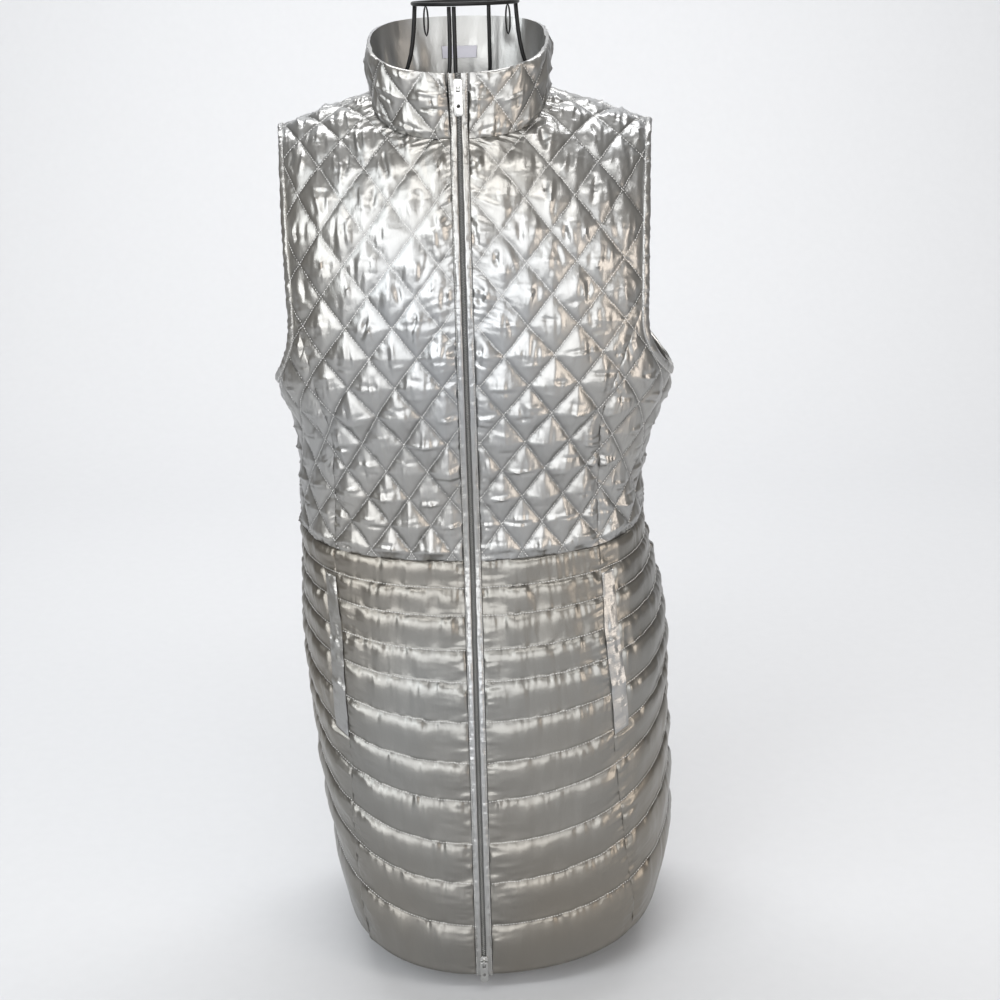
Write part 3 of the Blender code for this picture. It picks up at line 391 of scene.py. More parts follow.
@dataclass
class Pattern:
    """The pattern's seam lines, as lines of (across, up) counted on the right."""

    figure: Figure

    def __post_init__(self) -> None:
        """Lay the princess seams."""
        levels, left, right = zip(*PRINCESS)
        self.princess = {-1: through(levels, left), 1: through(levels, right)}
        self.top = levels[-1]

    @staticmethod
    def neck_point(turn: float) -> tuple[float, float]:
        """Return half width and height of the neck seam at a turn from the front.

        Args:
            turn: Turn from the front.

        Returns:
            Half width and height.
        """
        x = NECK_HALF_WIDTH * math.sin(turn)
        peak = SHOULDER_PEAK - SHOULDER_SLOPE * math.hypot(NECK_HALF_WIDTH, SHOULDER_ROUND)
        middle = FRONT_NECK if turn <= math.pi / 2 else BACK_NECK
        return x, middle + (peak - middle) * (1 - abs(math.cos(turn))) ** 1.5

    def neck(self, side: int, back: bool, steps: int = 25) -> Line:
        """Return the neck seam from the shoulder to the middle of the front or back."""
        turns = np.linspace(math.pi / 2, math.pi if back else 0, steps)
        return [self.figure.cloth_at(side, *self.neck_point(turn), back) for turn in turns]

    def princess_line(self, side: int, low: float, high: float) -> Line:
        """Return the front panel's seam to the side panel, upwards."""
        return [(float(self.princess[side](up)), up) for up in np.linspace(low, high, 60)]

    def armhole(self, side: int, low: float, back: bool, steps: int = 60) -> Line:
        """Return the armhole's edge from a level up to the shoulder's tip.

        Args:
            side: -1 for the left, 1 for the right.
            low: Level to start from.
            back: Whether the line is on the back.
            steps: Number of points.

        Returns:
            The line, upwards.
        """
        tip = self.figure.cloth_at(side, SHOULDER_TIP[side], back=back)
        bend = ARMHOLE_BACK if back else ARMHOLE_FRONT[side]
        line = []
        for up in low + (tip[1] - low) * np.linspace(0, 1, steps) ** 1.6:
            if up < ARMHOLE_BEND:
                drop = (ARMHOLE_BEND - up) / (ARMHOLE_BEND - UNDERARM)
                across = bend + (SIDE_SEAM - bend) * (1 - math.sqrt(max(0.0, 1 - drop ** 2)))
            else:
                across = bend + (tip[0] - bend) * ((up - ARMHOLE_BEND) / (tip[1] - ARMHOLE_BEND)) ** 2
            line.append((across, float(up)))
        return line

    def band_edge(self, side: int, up: float) -> float:
        """Return the column where a panel meets the band beside the zip."""
        return BAND_OUTER / float(self.figure.column_width(side, up))

    def band_line(self, side: int, low: float, high: float) -> Line:
        """Return the panel's edge beside the band, upwards."""
        return [(self.band_edge(side, up), up) for up in np.linspace(low, high, 40)]


def even_line(line: Line, count: int) -> Array:
    """Return a line of cloth points again, with an even step on the flat cloth.

    Args:
        line: Cloth points.
        count: Number of points wanted.

    Returns:
        The points.
    """
    points = np.array(line, float)
    run = run_of(points * FLAT)
    stations = np.linspace(0, run[-1], count)
    return np.column_stack([np.interp(stations, run, points[:, k]) for k in (0, 1)])


class Edge(Enum):
    """The four edges of a patch."""

    BOTTOM = "bottom"
    TOP = "top"
    LEFT = "left"
    RIGHT = "right"


@dataclass
class Patch:
    """A cloth panel as a grid between four edges, left to right and bottom to top.

    Attributes:
        bottom, top, left, right: The edges as cloth points.
        step: Wanted distance between the grid's points.
    """

    bottom: Line
    top: Line
    left: Line
    right: Line
    step: float = 0.0018

    def __post_init__(self) -> None:
        """Lay the grid by blending the four edges."""
        self.columns = self.count(self.bottom, self.top)
        self.rows = self.count(self.left, self.right)
        low, high = (even_line(line, self.columns) for line in (self.bottom, self.top))
        first, last = (even_line(line, self.rows) for line in (self.left, self.right))
        s = np.linspace(0, 1, self.columns)[None, :, None]
        t = np.linspace(0, 1, self.rows)[:, None, None]
        sides = first[:, None] * (1 - s) + last[:, None] * s
        ends = low[None] * (1 - t) + high[None] * t
        corners = (low[0] * (1 - s) + low[-1] * s) * (1 - t) + (high[0] * (1 - s) + high[-1] * s) * t
        self.cloth = sides + ends - corners

    def count(self, *edges: Line) -> int:
        """Return the number of points that the longer of two edges takes."""
        longest = max(float(run_of(np.array(line) * FLAT)[-1]) for line in edges)
        return COARSE * max(2, round(longest / self.step / COARSE)) + 1

    def from_edge(self, edge: Edge) -> tuple[Array, Array]:
        """Return each point's distance from an edge, and how far along that edge it lies.

        Args:
            edge: The edge.

        Returns:
            The distances and the places along the edge.
        """
        flat = self.cloth * FLAT
        upright = edge in (Edge.LEFT, Edge.RIGHT)
        first = edge in (Edge.LEFT, Edge.BOTTOM)
        turned = flat if upright else flat.swapaxes(0, 1)
        base = turned[:, :1] if first else turned[:, -1:]
        away = np.linalg.norm(turned - base, axis=-1)
        along = np.broadcast_to(run_of(base[:, 0])[:, None], away.shape)
        return (away, along) if upright else (away.T, along.T)


def mirrored(line: Line, about: float = 0.0) -> Line:
    """Return a line of cloth points mirrored about a column."""
    return [(2 * about - across, up) for across, up in line]


@dataclass(frozen=True)
class Gather:
    """Small folds that run into a panel from one of its edges.

    Attributes:
        edge: The edge that they start from.
        height: How high they stand.
        spacing: Distance from fold to fold along the edge.
        reach: How far they run into the panel.
        fine: Height and spacing of the finer folds among them, as shares.
        uneven: How much the reach varies, as a share.
        pinned: Share of the height that is left on the edge itself.
        free: Distance from the edge at which they stand free.
    """

    edge: Edge
    height: float
    spacing: float
    reach: float
    fine: tuple[float, float] = (0.6, 0.45)
    uneven: float = 0.6
    pinned: float = 0.35
    free: float = 0.003

    def relief(self, patch: Patch, seed: int) -> Array:
        """Return the folds' height at the patch's points.

        Args:
            patch: The patch.
            seed: Seed of the folds.

        Returns:
            The height.
        """
        away, along = patch.from_edge(self.edge)
        step = self.spacing
        share, finer = self.fine
        folds = ripple(along / step, away / (4 * step), seed)
        folds += share * ripple(along / (finer * step), away / (2 * step), seed + 1)
        reach = self.reach * (1 + self.uneven * ripple(along / (3 * step), 0 * along, seed + 2))
        held = self.pinned + (1 - self.pinned) * np.minimum(1, away / self.free)
        return self.height * folds * np.exp(-away / reach) * held


@dataclass(frozen=True)
class DiamondQuilting:
    """Quilting stitched in diamonds, with the cloth buckled inside each.

    Attributes:
        phase: Column of a crossing.
        puff: Height of a diamond's middle.
        fade: How far from a panel's edge the puff grows.
        flat_above: Level above which the diamonds are less full and their folds more upright.
        change: Height below it over which they come to be full.
        ridge: Share of a diamond that is ridged like a roof; the rest is a round pillow.
        folds: Folds inside a diamond, which stand and sink by turns; each third is level.
        fold: A fold's lean, middle, half length, width, place and depth, each from and to.
        pucker: Height, spacing and reach of the puckers across the stitch lines.
        held: Distance from a stitch line at which the cloth is free to pucker.
        seed: Seed of the folds.
    """

    phase: float
    puff: float = 0.0046
    fade: float = 0.012
    flat_above: float = 0.74
    change: float = 0.12
    ridge: float = 0.65
    folds: int = 8
    fold: Pairs = (
        (-0.225, 0.225), (-0.008, 0.008), (0.008, 0.018), (0.0011, 0.0026), (-0.011, 0.011),
        (0.00042, 0.00182),
    )
    pucker: Place = (0.0006, 0.0050, 0.0045)
    held: float = 0.0012
    seed: int = 5

    def counts(self, cloth: Array) -> tuple[Array, Array]:
        """Return the two counts that are whole on the stitch lines."""
        across = cloth[..., 0] - self.phase
        rows = (cloth[..., 1] - DIAMOND_LEVEL) / DIAMOND_HEIGHT
        return across + rows, across - rows

    def stitch_distance(self, cloth: Array) -> Array:
        """Return the distance to the nearest stitch line."""
        away = [np.abs(count - np.round(count)) for count in self.counts(cloth)]
        return np.min(away, axis=0) / COUNT_SLOPE

    def relief(self, patch: Patch) -> Array:
        """Return the quilting's height at the patch's points.

        Args:
            patch: The patch.

        Returns:
            The height.
        """
        first, second = self.counts(patch.cloth)
        i, j = np.floor(first), np.floor(second)
        u, v = first - i, second - j
        middle = 2 * np.minimum.reduce((u, 1 - u, v, 1 - v))
        pillow = 16 * u * (1 - u) * v * (1 - v)
        low = np.clip((self.flat_above - patch.cloth[..., 1]) / self.change, 0, 1)
        level, upright = 1.06 - np.abs(u + v - 1), 1.06 - np.abs(u - v)
        roof = middle * level ** (-0.6 * low) * upright ** (-0.4 * (1 - low))
        size = (0.75 + 0.5 * chance(i, j, self.seed)) * (0.82 + 0.73 * low)
        height = self.puff * size * (self.ridge * roof ** 0.9 + (1 - self.ridge) * pillow ** 0.45)
        clear = np.min([patch.from_edge(edge)[0] for edge in Edge], axis=0)
        height *= np.clip(clear / self.fade, 0, 1) ** 0.75
        height += self._folds(i, j, u, v, low) * np.minimum(1, 2.4 * middle)
        return height + self._puckers(first, second)

    def seams(self, low: Array, high: Array, step: float = 0.0022) -> list[Array]:
        """Return the stitch lines between two corners of the cloth.

        Args:
            low, high: The corners.
            step: Height from point to point.

        Returns:
            The lines, as cloth points.
        """
        up = np.arange(low[1], high[1], step)
        rows = (up - DIAMOND_LEVEL) / DIAMOND_HEIGHT
        corners = np.array([(x, y) for x in (low[0], high[0]) for y in (low[1], high[1])])
        return [np.column_stack((self.phase + (whole + slant * rows), up))
                for slant, counts in zip((-1, 1), self.counts(corners))
                for whole in range(math.ceil(counts.min()), math.floor(counts.max()) + 1)]

    def _folds(self, i: Array, j: Array, u: Array, v: Array, low: Array) -> Array:
        """Return the folds inside each diamond, upright high on the vest and more level low down.

        Args:
            i, j: Whole counts of each diamond.
            u, v: Shares of the way across it.
            low: How far down the vest it lies, from 0 to 1.

        Returns:
            Their height.
        """
        across = (u + v - 1) / 2 * COLUMN
        up = (u - v) / 2 * DIAMOND_HEIGHT
        total = np.zeros_like(u)
        for k in range(self.folds):
            lean, middle, reach, width, place, depth = (
                least + (most - least) * chance(i, j, self.seed + 10 * k + n)
                for n, (least, most) in enumerate(self.fold, 1))
            level = k % 3 == 2
            along, away = (across, up) if level else (up, across)
            share = 0.35 + 0.9 * low if level else 1.1 - 0.5 * low
            side = (away - place - lean * (along - middle)) / width
            fold = np.exp(-side ** 2) * np.clip(1 - ((along - middle) / reach) ** 2, 0, 1)
            total += (-1) ** (k + 1) * depth * share * fold
        return total

    def _puckers(self, first: Array, second: Array) -> Array:
        """Return the small puckers across the stitch lines.

        Args:
            first, second: The counts that are whole on the stitch lines.

        Returns:
            Their height.
        """
        height, spacing, reach = self.pucker
        step = math.hypot(COLUMN, DIAMOND_HEIGHT) / 2
        total = np.zeros_like(first)
        for line, other in ((first, second), (second, first)):
            near = np.abs(line - np.round(line)) / COUNT_SLOPE
            side = np.where(line > np.round(line), 0.0, 5.0)
            folds = ripple(other * step / spacing, 7.0 * np.round(line) + side, self.seed + 61)
            total += height * folds * np.exp(-near / reach) * np.minimum(1, near / self.held)
        return total


@dataclass(frozen=True)
class ChannelQuilting:
    """Quilting stitched in level channels, with the cloth gathered under each seam.

    Attributes:
        puff: Height of a channel of the usual width, as a share of it.
        usual: The usual width; a channel's height grows with the root of its width.
        swell: How much the height varies along a channel, as shares, slowly and quickly.
        end: Share of the height at a panel's sides, and the distance at which it is full.
        hang: Height and reach of the folds that hang from the seam above.
        stand: Height and reach of the folds that stand on the seam below.
        held: Distance from a stitch line at which the cloth is free to fold.
        soft: Height of the soft waves over a whole channel.
        seed: Seed of the folds.
    """

    puff: float = 0.095
    usual: float = 0.032
    swell: tuple[float, float] = (0.26, 0.14)
    end: tuple[float, float] = (0.45, 0.010)
    hang: tuple[float, float] = (0.0013, 0.0110)
    stand: tuple[float, float] = (0.0007, 0.0060)
    held: float = 0.0012
    soft: float = 0.0014
    seed: int = 30

    def stitch_distance(self, cloth: Array) -> Array:
        """Return the distance to the nearest stitch line."""
        return np.min([np.abs(cloth[..., 1] - seam) for seam in CHANNEL_SEAMS], axis=0)

    def relief(self, patch: Patch) -> Array:
        """Return the quilting's height at the patch's points.

        Args:
            patch: The patch.

        Returns:
            The height.
        """
        seams = np.array(CHANNEL_SEAMS)
        x, up = patch.cloth[..., 0] * COLUMN, patch.cloth[..., 1]
        i = np.clip(np.searchsorted(seams, up) - 1, 0, len(seams) - 2)
        width = seams[i + 1] - seams[i]
        share = np.clip((up - seams[i]) / width, 0, 1)
        below, above = share * width, (1 - share) * width
        swell = 1 + self.swell[0] * ripple(x / 0.030, 3.7 * i, self.seed)
        swell += self.swell[1] * ripple(x / 0.012, 1.9 * i, self.seed + 6)
        full = self.puff * np.sqrt(width * self.usual)
        height = full * swell * np.sin(math.pi * share ** 1.9) ** 0.75
        least, clear_at = self.end
        clear = np.minimum(patch.from_edge(Edge.LEFT)[0], patch.from_edge(Edge.RIGHT)[0])
        height *= least + (1 - least) * np.clip(clear / clear_at, 0, 1) ** 0.5
        return height + self._folds(x, up, i, above, below) + self._soft(x, up, share)

    def seams(self, low: Array, high: Array, step: float = 0.05) -> list[Array]:
        """Return the stitch lines between two corners of the cloth.

        Args:
            low, high: The corners.
            step: Columns from point to point.

        Returns:
            The lines, as cloth points.
        """
        across = np.arange(low[0], high[0], step)
        return [np.column_stack((across, np.full_like(across, seam))) for seam in CHANNEL_SEAMS[1:-1]]

    def _folds(self, x: Array, up: Array, i: Array, above: Array, below: Array) -> Array:
        """Return the folds at the seams above and below each channel.

        Args:
            x, up: Places on the flat cloth.
            i: Number of each channel.
            above, below: Distances from its seams.

        Returns:
            Their height.
        """
        folds = ripple(x / 0.0062, up / 0.030 + 11.3 * i, self.seed + 1)
        folds += 0.7 * ripple(x / 0.0031, up / 0.016 + 5.1 * i, self.seed + 2)
        deep = 0.85 + 0.5 * ripple(x / 0.025, 2.3 * i, self.seed + 3)
        height, reach = self.hang
        reach = reach * (1 + 0.7 * ripple(x / 0.010, 4.1 * i, self.seed + 5))
        hung = height * folds * deep * np.exp(-above / reach) * np.minimum(1, above / self.held)
        height, reach = self.stand
        return hung + height * folds * np.exp(-below / reach) * np.minimum(1, below / self.held)

    def _soft(self, x: Array, up: Array, share: Array) -> Array:
        """Return the soft waves over each channel."""
        return self.soft * ripple(x / 0.014, up / 0.070, self.seed + 4) * np.sin(math.pi * share)


def linked(name: str, data: bpy.types.ID) -> bpy.types.Object:
    """Return a mesh, light or camera as a new object in the scene."""
    piece = bpy.data.objects.new(name, data)
    bpy.context.collection.objects.link(piece)
    return piece


def settle(piece: bpy.types.Object) -> bpy.types.Mesh:
    """Turn a piece with its modifiers into a plain mesh, and return the mesh.

    Args:
        piece: The piece.

    Returns:
        The mesh.
    """
    bpy.context.view_layer.update()
    seen = piece.evaluated_get(bpy.context.evaluated_depsgraph_get())
    mesh = bpy.data.meshes.new_from_object(seen)
    piece.modifiers.clear()
    piece.data = mesh
    return mesh


def carry(piece: bpy.types.Object, slot: str, body: str = BODY, nodes: Sequence[str] = ()) -> None:
    """Have a piece ride on a body and stand for CAD nodes.

    Args:
        piece: The piece.
        slot: The record's material slot; not used.
        body: The body that it rides on.
        nodes: The CAD nodes that it stands for.
    """
    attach(piece, body)
    if nodes:
        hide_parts(*nodes)


def shape_of(name: str, points: Array, faces: Sequence[Sequence[int]], finish: bpy.types.Material,
             cloth: Array | None = None, seam: Array | None = None, slot: str = SATIN_SLOT,
             nodes: Sequence[str] = ()) -> bpy.types.Object:
    """Make one mesh piece that rides with the vest.

    Args:
        name: The piece's name.
        points: Its points, one a row.
        faces: Its faces as point numbers.
        finish: Its material.
        cloth: The points' places on the flat cloth, in metres, for the UV map.
        seam: Each point's distance from a stitch line, from 0 on it to 1, by which the satin paints
            shade along the stitch lines.
        slot: The record's material slot.
        nodes: The CAD nodes that it stands for.

    Returns:
        The piece.
    """
    mesh = bpy.data.meshes.new(name)
    mesh.from_pydata(np.asarray(points).tolist(), [], [list(face) for face in faces])
    mesh.materials.append(finish)
    mesh.shade_smooth()
    mesh.set_sharp_from_angle(angle=math.radians(62))
    if cloth is not None:
        corners = np.empty(len(mesh.loops), np.int32)
        mesh.loops.foreach_get("vertex_index", corners)
        layer = mesh.uv_layers.new(name="cloth")
        layer.data.foreach_set("uv", np.asarray(cloth, np.float32)[corners].ravel())
    if seam is not None:
        values = np.asarray(seam, np.float32)
        mesh.attributes.new("seam", "FLOAT", "POINT").data.foreach_set("value", values)
    piece = linked(name, mesh)
    carry(piece, slot, nodes=nodes)
    return piece


def wall_faces(rows: int, columns: int, skip: int) -> list[list[int]]:
    """Return the faces of a closed wall: a fine outer grid, a coarser inner grid and a rim.

    Args:
        rows: Rows of the outer grid.
        columns: Columns of the outer grid.
        skip: How many outer steps one inner step takes.

    Returns:
        The faces, with the inner grid's points numbered after the outer grid's.
    """
    outer = np.arange(rows * columns).reshape(rows, columns)
    small = (rows - 1) // skip + 1, (columns - 1) // skip + 1
    inner = rows * columns + np.arange(small[0] * small[1]).reshape(small)
    faces = quads(outer).tolist() + quads(inner)[:, ::-1].tolist()
    rims = ((outer[0], inner[0]), (outer[:, -1], inner[:, -1]),
            (outer[-1, ::-1], inner[-1, ::-1]), (outer[::-1, 0], inner[::-1, 0]))
    for line, lining in rims:
        for k in range(len(lining) - 1):
            run = line[k * skip:(k + 1) * skip + 1]
            faces.append(run[::-1].tolist() + [int(lining[k]), int(lining[k + 1])])
    return faces


@dataclass
class QuiltedPanel:
    """A panel of quilted satin, closed round its wadding.

    Attributes:
        name: The piece's name.
        node: The CAD node that it stands for.
        patch: Its grid on the flat cloth.
        points_of: The surface that it lies on.
        quilting: Its quilting.
        gathers: Folds from its edges.
        flat: Width and length of its cut; not used.
        area: The cut's area; not used.
        wall: Thickness at the stitch lines.
        sink: How far a fold may sink into the wall, as a share of it.
        groove_shade: Distance from a stitch line at which the painted shade along it ends.
        skip: How many outer steps one inner step takes.
        lining: How high the lining's wrinkles are.
        wrinkle: Their size across and up.
        thread: How far the stitches lie above the cloth.
        shortest: Points that a line of stitches has at least.
        rests_on: The nodes that carry it; not used.
        pressed: What presses its relief flat in places, from the cloth and the relief.
    """

    name: str
    node: str
    patch: Patch
    points_of: PointsOf
    quilting: DiamondQuilting | ChannelQuilting
    gathers: tuple[Gather, ...]
    flat: tuple[float, float]
    area: float
    wall: float = WALL
    sink: float = 0.35
    groove_shade: float = 0.004
    skip: int = COARSE
    lining: float = 0.0004
    wrinkle: tuple[float, float] = (0.012, 0.03)
    thread: float = 0.0001
    shortest: int = 4
    rests_on: tuple[str, ...] = ("form_left_wire_front", "form_right_wire_front")
    pressed: Press | None = None

    def build(self, finish: bpy.types.Material) -> None:
        """Build the panel in its satin, and keep a search tree of its surface.

        Args:
            finish: The satin.
        """
        seed = sum(map(ord, self.name))
        cloth = self.patch.cloth
        relief = self.quilting.relief(self.patch)
        for k, gather in enumerate(self.gathers):
            relief = relief + gather.relief(self.patch, seed + 9 * k)
        if self.pressed:
            relief = self.pressed(cloth, relief)
        relief = np.maximum(relief, -self.sink * self.wall)
        normals = normals_of(self.points_of, cloth)
        outer = self.points_of(cloth) + normals * (self.wall / 2 + relief)[..., None]
        inside = cloth[::self.skip, ::self.skip]
        x, up = inside[..., 0] * COLUMN, inside[..., 1]
        wrinkles = self.lining * ripple(x / self.wrinkle[0], up / self.wrinkle[1], seed)
        deep = (self.wall / 2 + np.maximum(wrinkles, 0))[..., None]
        lining = self.points_of(inside) - normals[::self.skip, ::self.skip] * deep
        points = np.vstack((outer.reshape(-1, 3), lining.reshape(-1, 3)))
        flat = np.vstack((cloth.reshape(-1, 2), inside.reshape(-1, 2))) * FLAT
        # The mask of the painted shade along the stitch lines; the satin also crinkles more there by it.
        seam = np.clip(self.quilting.stitch_distance(cloth) / self.groove_shade, 0, 1).ravel()
        seam = np.concatenate((seam, np.ones(x.size)))
        faces = wall_faces(self.patch.rows, self.patch.columns, self.skip)
        piece = shape_of(self.name, points, faces, finish, flat, seam, nodes=(self.node,))
        list(self.rests_on)
        number = np.arange(cloth[..., 0].size).reshape(cloth.shape[:2])
        self.surface = BVHTree.FromPolygons(outer.reshape(-1, 3).tolist(), quads(number).tolist())
        LOG.info("%s: %d x %d points", self.name, self.patch.rows, self.patch.columns)

    def stitch_lines(self) -> list[Array]:
        """Return the built panel's quilting seams as lines of places on its surface."""
        grid = self.patch.cloth
        outline = np.vstack((grid[0], grid[1:, -1], grid[-1, ::-1][1:], grid[::-1, 0][1:-1]))
        laid = []
        for line in self.quilting.seams(outline.min(axis=0), outline.max(axis=0)):
            kept = np.concatenate(([0], inside_of(outline, line).astype(int), [0]))
            stops = np.flatnonzero(np.diff(kept))
            laid += [self.laid(line[start:stop]) for start, stop in zip(stops[::2], stops[1::2])
                     if stop - start >= self.shortest]
        return laid

    def laid(self, line: Array) -> Array:
        """Return a line of cloth points as places of the thread on the panel."""
        found = [self.surface.find_nearest(Vector(point)) for point in self.points_of(line)]
        return np.array([place + normal * self.thread for place, normal, _, _ in found])


def inside_of(outline: Array, points: Array) -> Array:
    """Tell which cloth points lie inside an outline.

    Args:
        outline: The outline's points, in order.
        points: The points to test.

    Returns:
        True for each point inside.
    """
    start, end = outline, np.roll(outline, -1, axis=0)
    x, y = points[:, 0, None], points[:, 1, None]
    crosses = (start[:, 1] > y) != (end[:, 1] > y)
    with np.errstate(divide="ignore", invalid="ignore"):
        at = start[:, 0] + (y - start[:, 1]) * (end[:, 0] - start[:, 0]) / (end[:, 1] - start[:, 1])
    return np.sum(crosses & (x < at), axis=1) % 2 == 1


class Signal:
    """A node's output that takes part in arithmetic, which adds Math nodes."""

    def __init__(self, graph: "Graph", socket: bpy.types.NodeSocket) -> None:
        """Keep the graph and the socket."""
        self.graph = graph
        self.socket = socket

    def math(self, operation: str, *others: "Signal | float") -> "Signal":
        """Return the result of a Math node on this value and others."""
        inputs = dict(enumerate((self, *others)))
        return self.graph.out(self.graph.add("ShaderNodeMath", {"operation": operation}, inputs))

    def __add__(self, other: "Signal | float") -> "Signal":
        """Add."""
        return self.math("ADD", other)

    __radd__ = __add__

    def __mul__(self, other: "Signal | float") -> "Signal":
        """Multiply."""
        return self.math("MULTIPLY", other)

    __rmul__ = __mul__

    def __sub__(self, other: "Signal | float") -> "Signal":
        """Subtract."""
        return self.math("SUBTRACT", other)

    def __rsub__(self, other: float) -> "Signal":
        """Subtract from a number."""
        node = self.graph.add("ShaderNodeMath", {"operation": "SUBTRACT"}, {0: other, 1: self})
        return self.graph.out(node)


class Graph:
    """Adds nodes to a node tree."""

    def __init__(self, tree: bpy.types.NodeTree) -> None:
        """Empty the tree."""
        self.tree = tree
        tree.nodes.clear()

    def add(self, kind: str, settings: dict[str, Any] | None = None,
            inputs: dict[str | int, Any] | None = None) -> bpy.types.Node:
        """Add a node.

        Args:
            kind: The node's type.
            settings: Its own settings, set first.
            inputs: Values or links of its sockets, by name or number.

        Returns:
            The node.
        """
        node = self.tree.nodes.new(kind)
        for key, value in (settings or {}).items():
            setattr(node, key, value)
        for key, value in (inputs or {}).items():
            if isinstance(value, Signal):
                self.tree.links.new(value.socket, node.inputs[key])
            else:
                node.inputs[key].default_value = value
        return node

    def out(self, node: bpy.types.Node, key: str | int = 0) -> Signal:
        """Return a node's output."""
        return Signal(self, node.outputs[key])

    def noise(self, place: Signal, scale: Place, detail: float = 2.0) -> Signal:
        """Return a noise of 0 to 1 with its own scale along each axis."""
        stretched = self.add("ShaderNodeVectorMath", {"operation": "MULTIPLY"}, {0: place, 1: scale})
        inputs = {"Vector": self.out(stretched), "Scale": 1.0, "Detail": detail}
        return self.out(self.add("ShaderNodeTexNoise", None, inputs))

    def blend(self, factor: Signal, first: Any, second: Any) -> Signal:
        """Return a mix of two colours."""
        node = self.add("ShaderNodeMix", {"data_type": "RGBA"}, {0: factor, 6: first, 7: second})
        return self.out(node, 2)

    def bump(self, height: Signal, distance: float) -> Signal:
        """Return a normal from a height."""
        inputs = {"Height": height, "Distance": distance, "Strength": 1.0}
        return self.out(self.add("ShaderNodeBump", None, inputs))

    def surface(self, inputs: dict[str, Any]) -> None:
        """Finish a material with a Principled shader."""
        shader = self.add("ShaderNodeBsdfPrincipled", None, inputs)
        self.add("ShaderNodeOutputMaterial", None, {"Surface": self.out(shader)})


def new_material(name: str) -> tuple[bpy.types.Material, Graph]:
    """Return a new material and its graph."""
    material = bpy.data.materials.new(name)
    material.use_nodes = True
    return material, Graph(material.node_tree)


@dataclass(frozen=True)
class SatinFinish:
    """Silver metallic satin, finely crinkled where it is gathered, with shade painted along its stitch
    lines.

    Attributes:
        name: The material's name.
        cool, warm: Colours that it drifts between.
        groove_shade: Painted shade along the stitch lines, as the share of the colour left on them.
        roughness: Roughness of the flat cloth.
        metallic: Metallic share.
        crinkle: Height of the fine creases, in metres.
        creases: Creases to a metre, across and up.
        grain: Finer grains to a metre, across and up.
        drift: Changes of colour to a metre along each axis.
        weave: Turns of the weave's threads, in radians to a metre.
    """

    name: str
    cool: tuple[float, float, float, float] = (0.39, 0.40, 0.41, 1)
    warm: tuple[float, float, float, float] = (0.37, 0.36, 0.34, 1)
    groove_shade: float = 0.62
    roughness: float = 0.33
    metallic: float = 0.92
    crinkle: float = 0.0004
    creases: Place = (230.0, 80.0, 1.0)
    grain: Place = (520.0, 430.0, 1.0)
    drift: Place = (5.0, 5.0, 4.0)
    weave: float = 9000.0

    def make(self) -> bpy.types.Material:
        """Return the material."""
        material, graph = new_material(self.name)
        cloth = graph.out(graph.add("ShaderNodeUVMap", {"uv_map": "cloth"}))
        place = graph.out(graph.add("ShaderNodeTexCoord"), "Object")
        seam = graph.out(graph.add("ShaderNodeAttribute", {"attribute_name": "seam"}), "Fac")
        drift = graph.noise(place, self.drift, 1.0)
        colour = graph.blend(drift.math("MULTIPLY_ADD", 2.4, -0.7), self.cool, self.warm)
        # Painted shade: the colour darkens towards the stitch lines, where the grooves between the puffs
        # lie in shade.
        shade = seam * (1 - self.groove_shade) + self.groove_shade
        shaded = graph.out(graph.add("ShaderNodeVectorMath", {"operation": "SCALE"},
                                     {0: colour, "Scale": shade}))
        creases = graph.noise(cloth, self.creases, 3.0)
        grain = graph.noise(cloth, self.grain, 1.0)
        parts = graph.add("ShaderNodeSeparateXYZ", None, {0: cloth})
        weft, warp = ((graph.out(parts, axis) * self.weave).math("SINE") * 0.02 for axis in (1, 0))
        height = creases * (1.25 - 0.55 * seam) + grain * 0.22 + weft * warp
        rough = self.roughness - 0.05 + creases * 0.10
        graph.surface({"Base Color": shaded, "Roughness": rough, "Metallic": self.metallic,
                       "Normal": graph.bump(height, self.crinkle)})
        return material


@dataclass(frozen=True)
class PlainFinish:
    """A finish of one colour that varies a little, with a fine grain.

    Attributes:
        name: The material's name.
        colour: Its colour.
        other: The colour that it drifts towards.
        roughness: Roughness.
        metallic: Metallic share.
        grain: Grains to a metre along each axis.
        depth: Height of the grain, in metres.
        shine: Level of its plain reflection, 0.5 being usual.
    """

    name: str
    colour: tuple[float, float, float, float]
    other: tuple[float, float, float, float]
    roughness: float
    metallic: float
    grain: Place
    depth: float
    shine: float = 0.5

    def make(self) -> bpy.types.Material:
        """Return the material."""
        material, graph = new_material(self.name)
        place = graph.out(graph.add("ShaderNodeTexCoord"), "Object")
        grain = graph.noise(place, self.grain, 3.0)
        drift = graph.noise(place, (60.0, 60.0, 60.0), 2.0)
        graph.surface({
            "Base Color": graph.blend(drift, self.colour, self.other),
            "Roughness": self.roughness - 0.06 + grain * 0.12,
            "Metallic": self.metallic,
            "Specular IOR Level": self.shine,
            "Normal": graph.bump(grain, self.depth),
        })
        return material


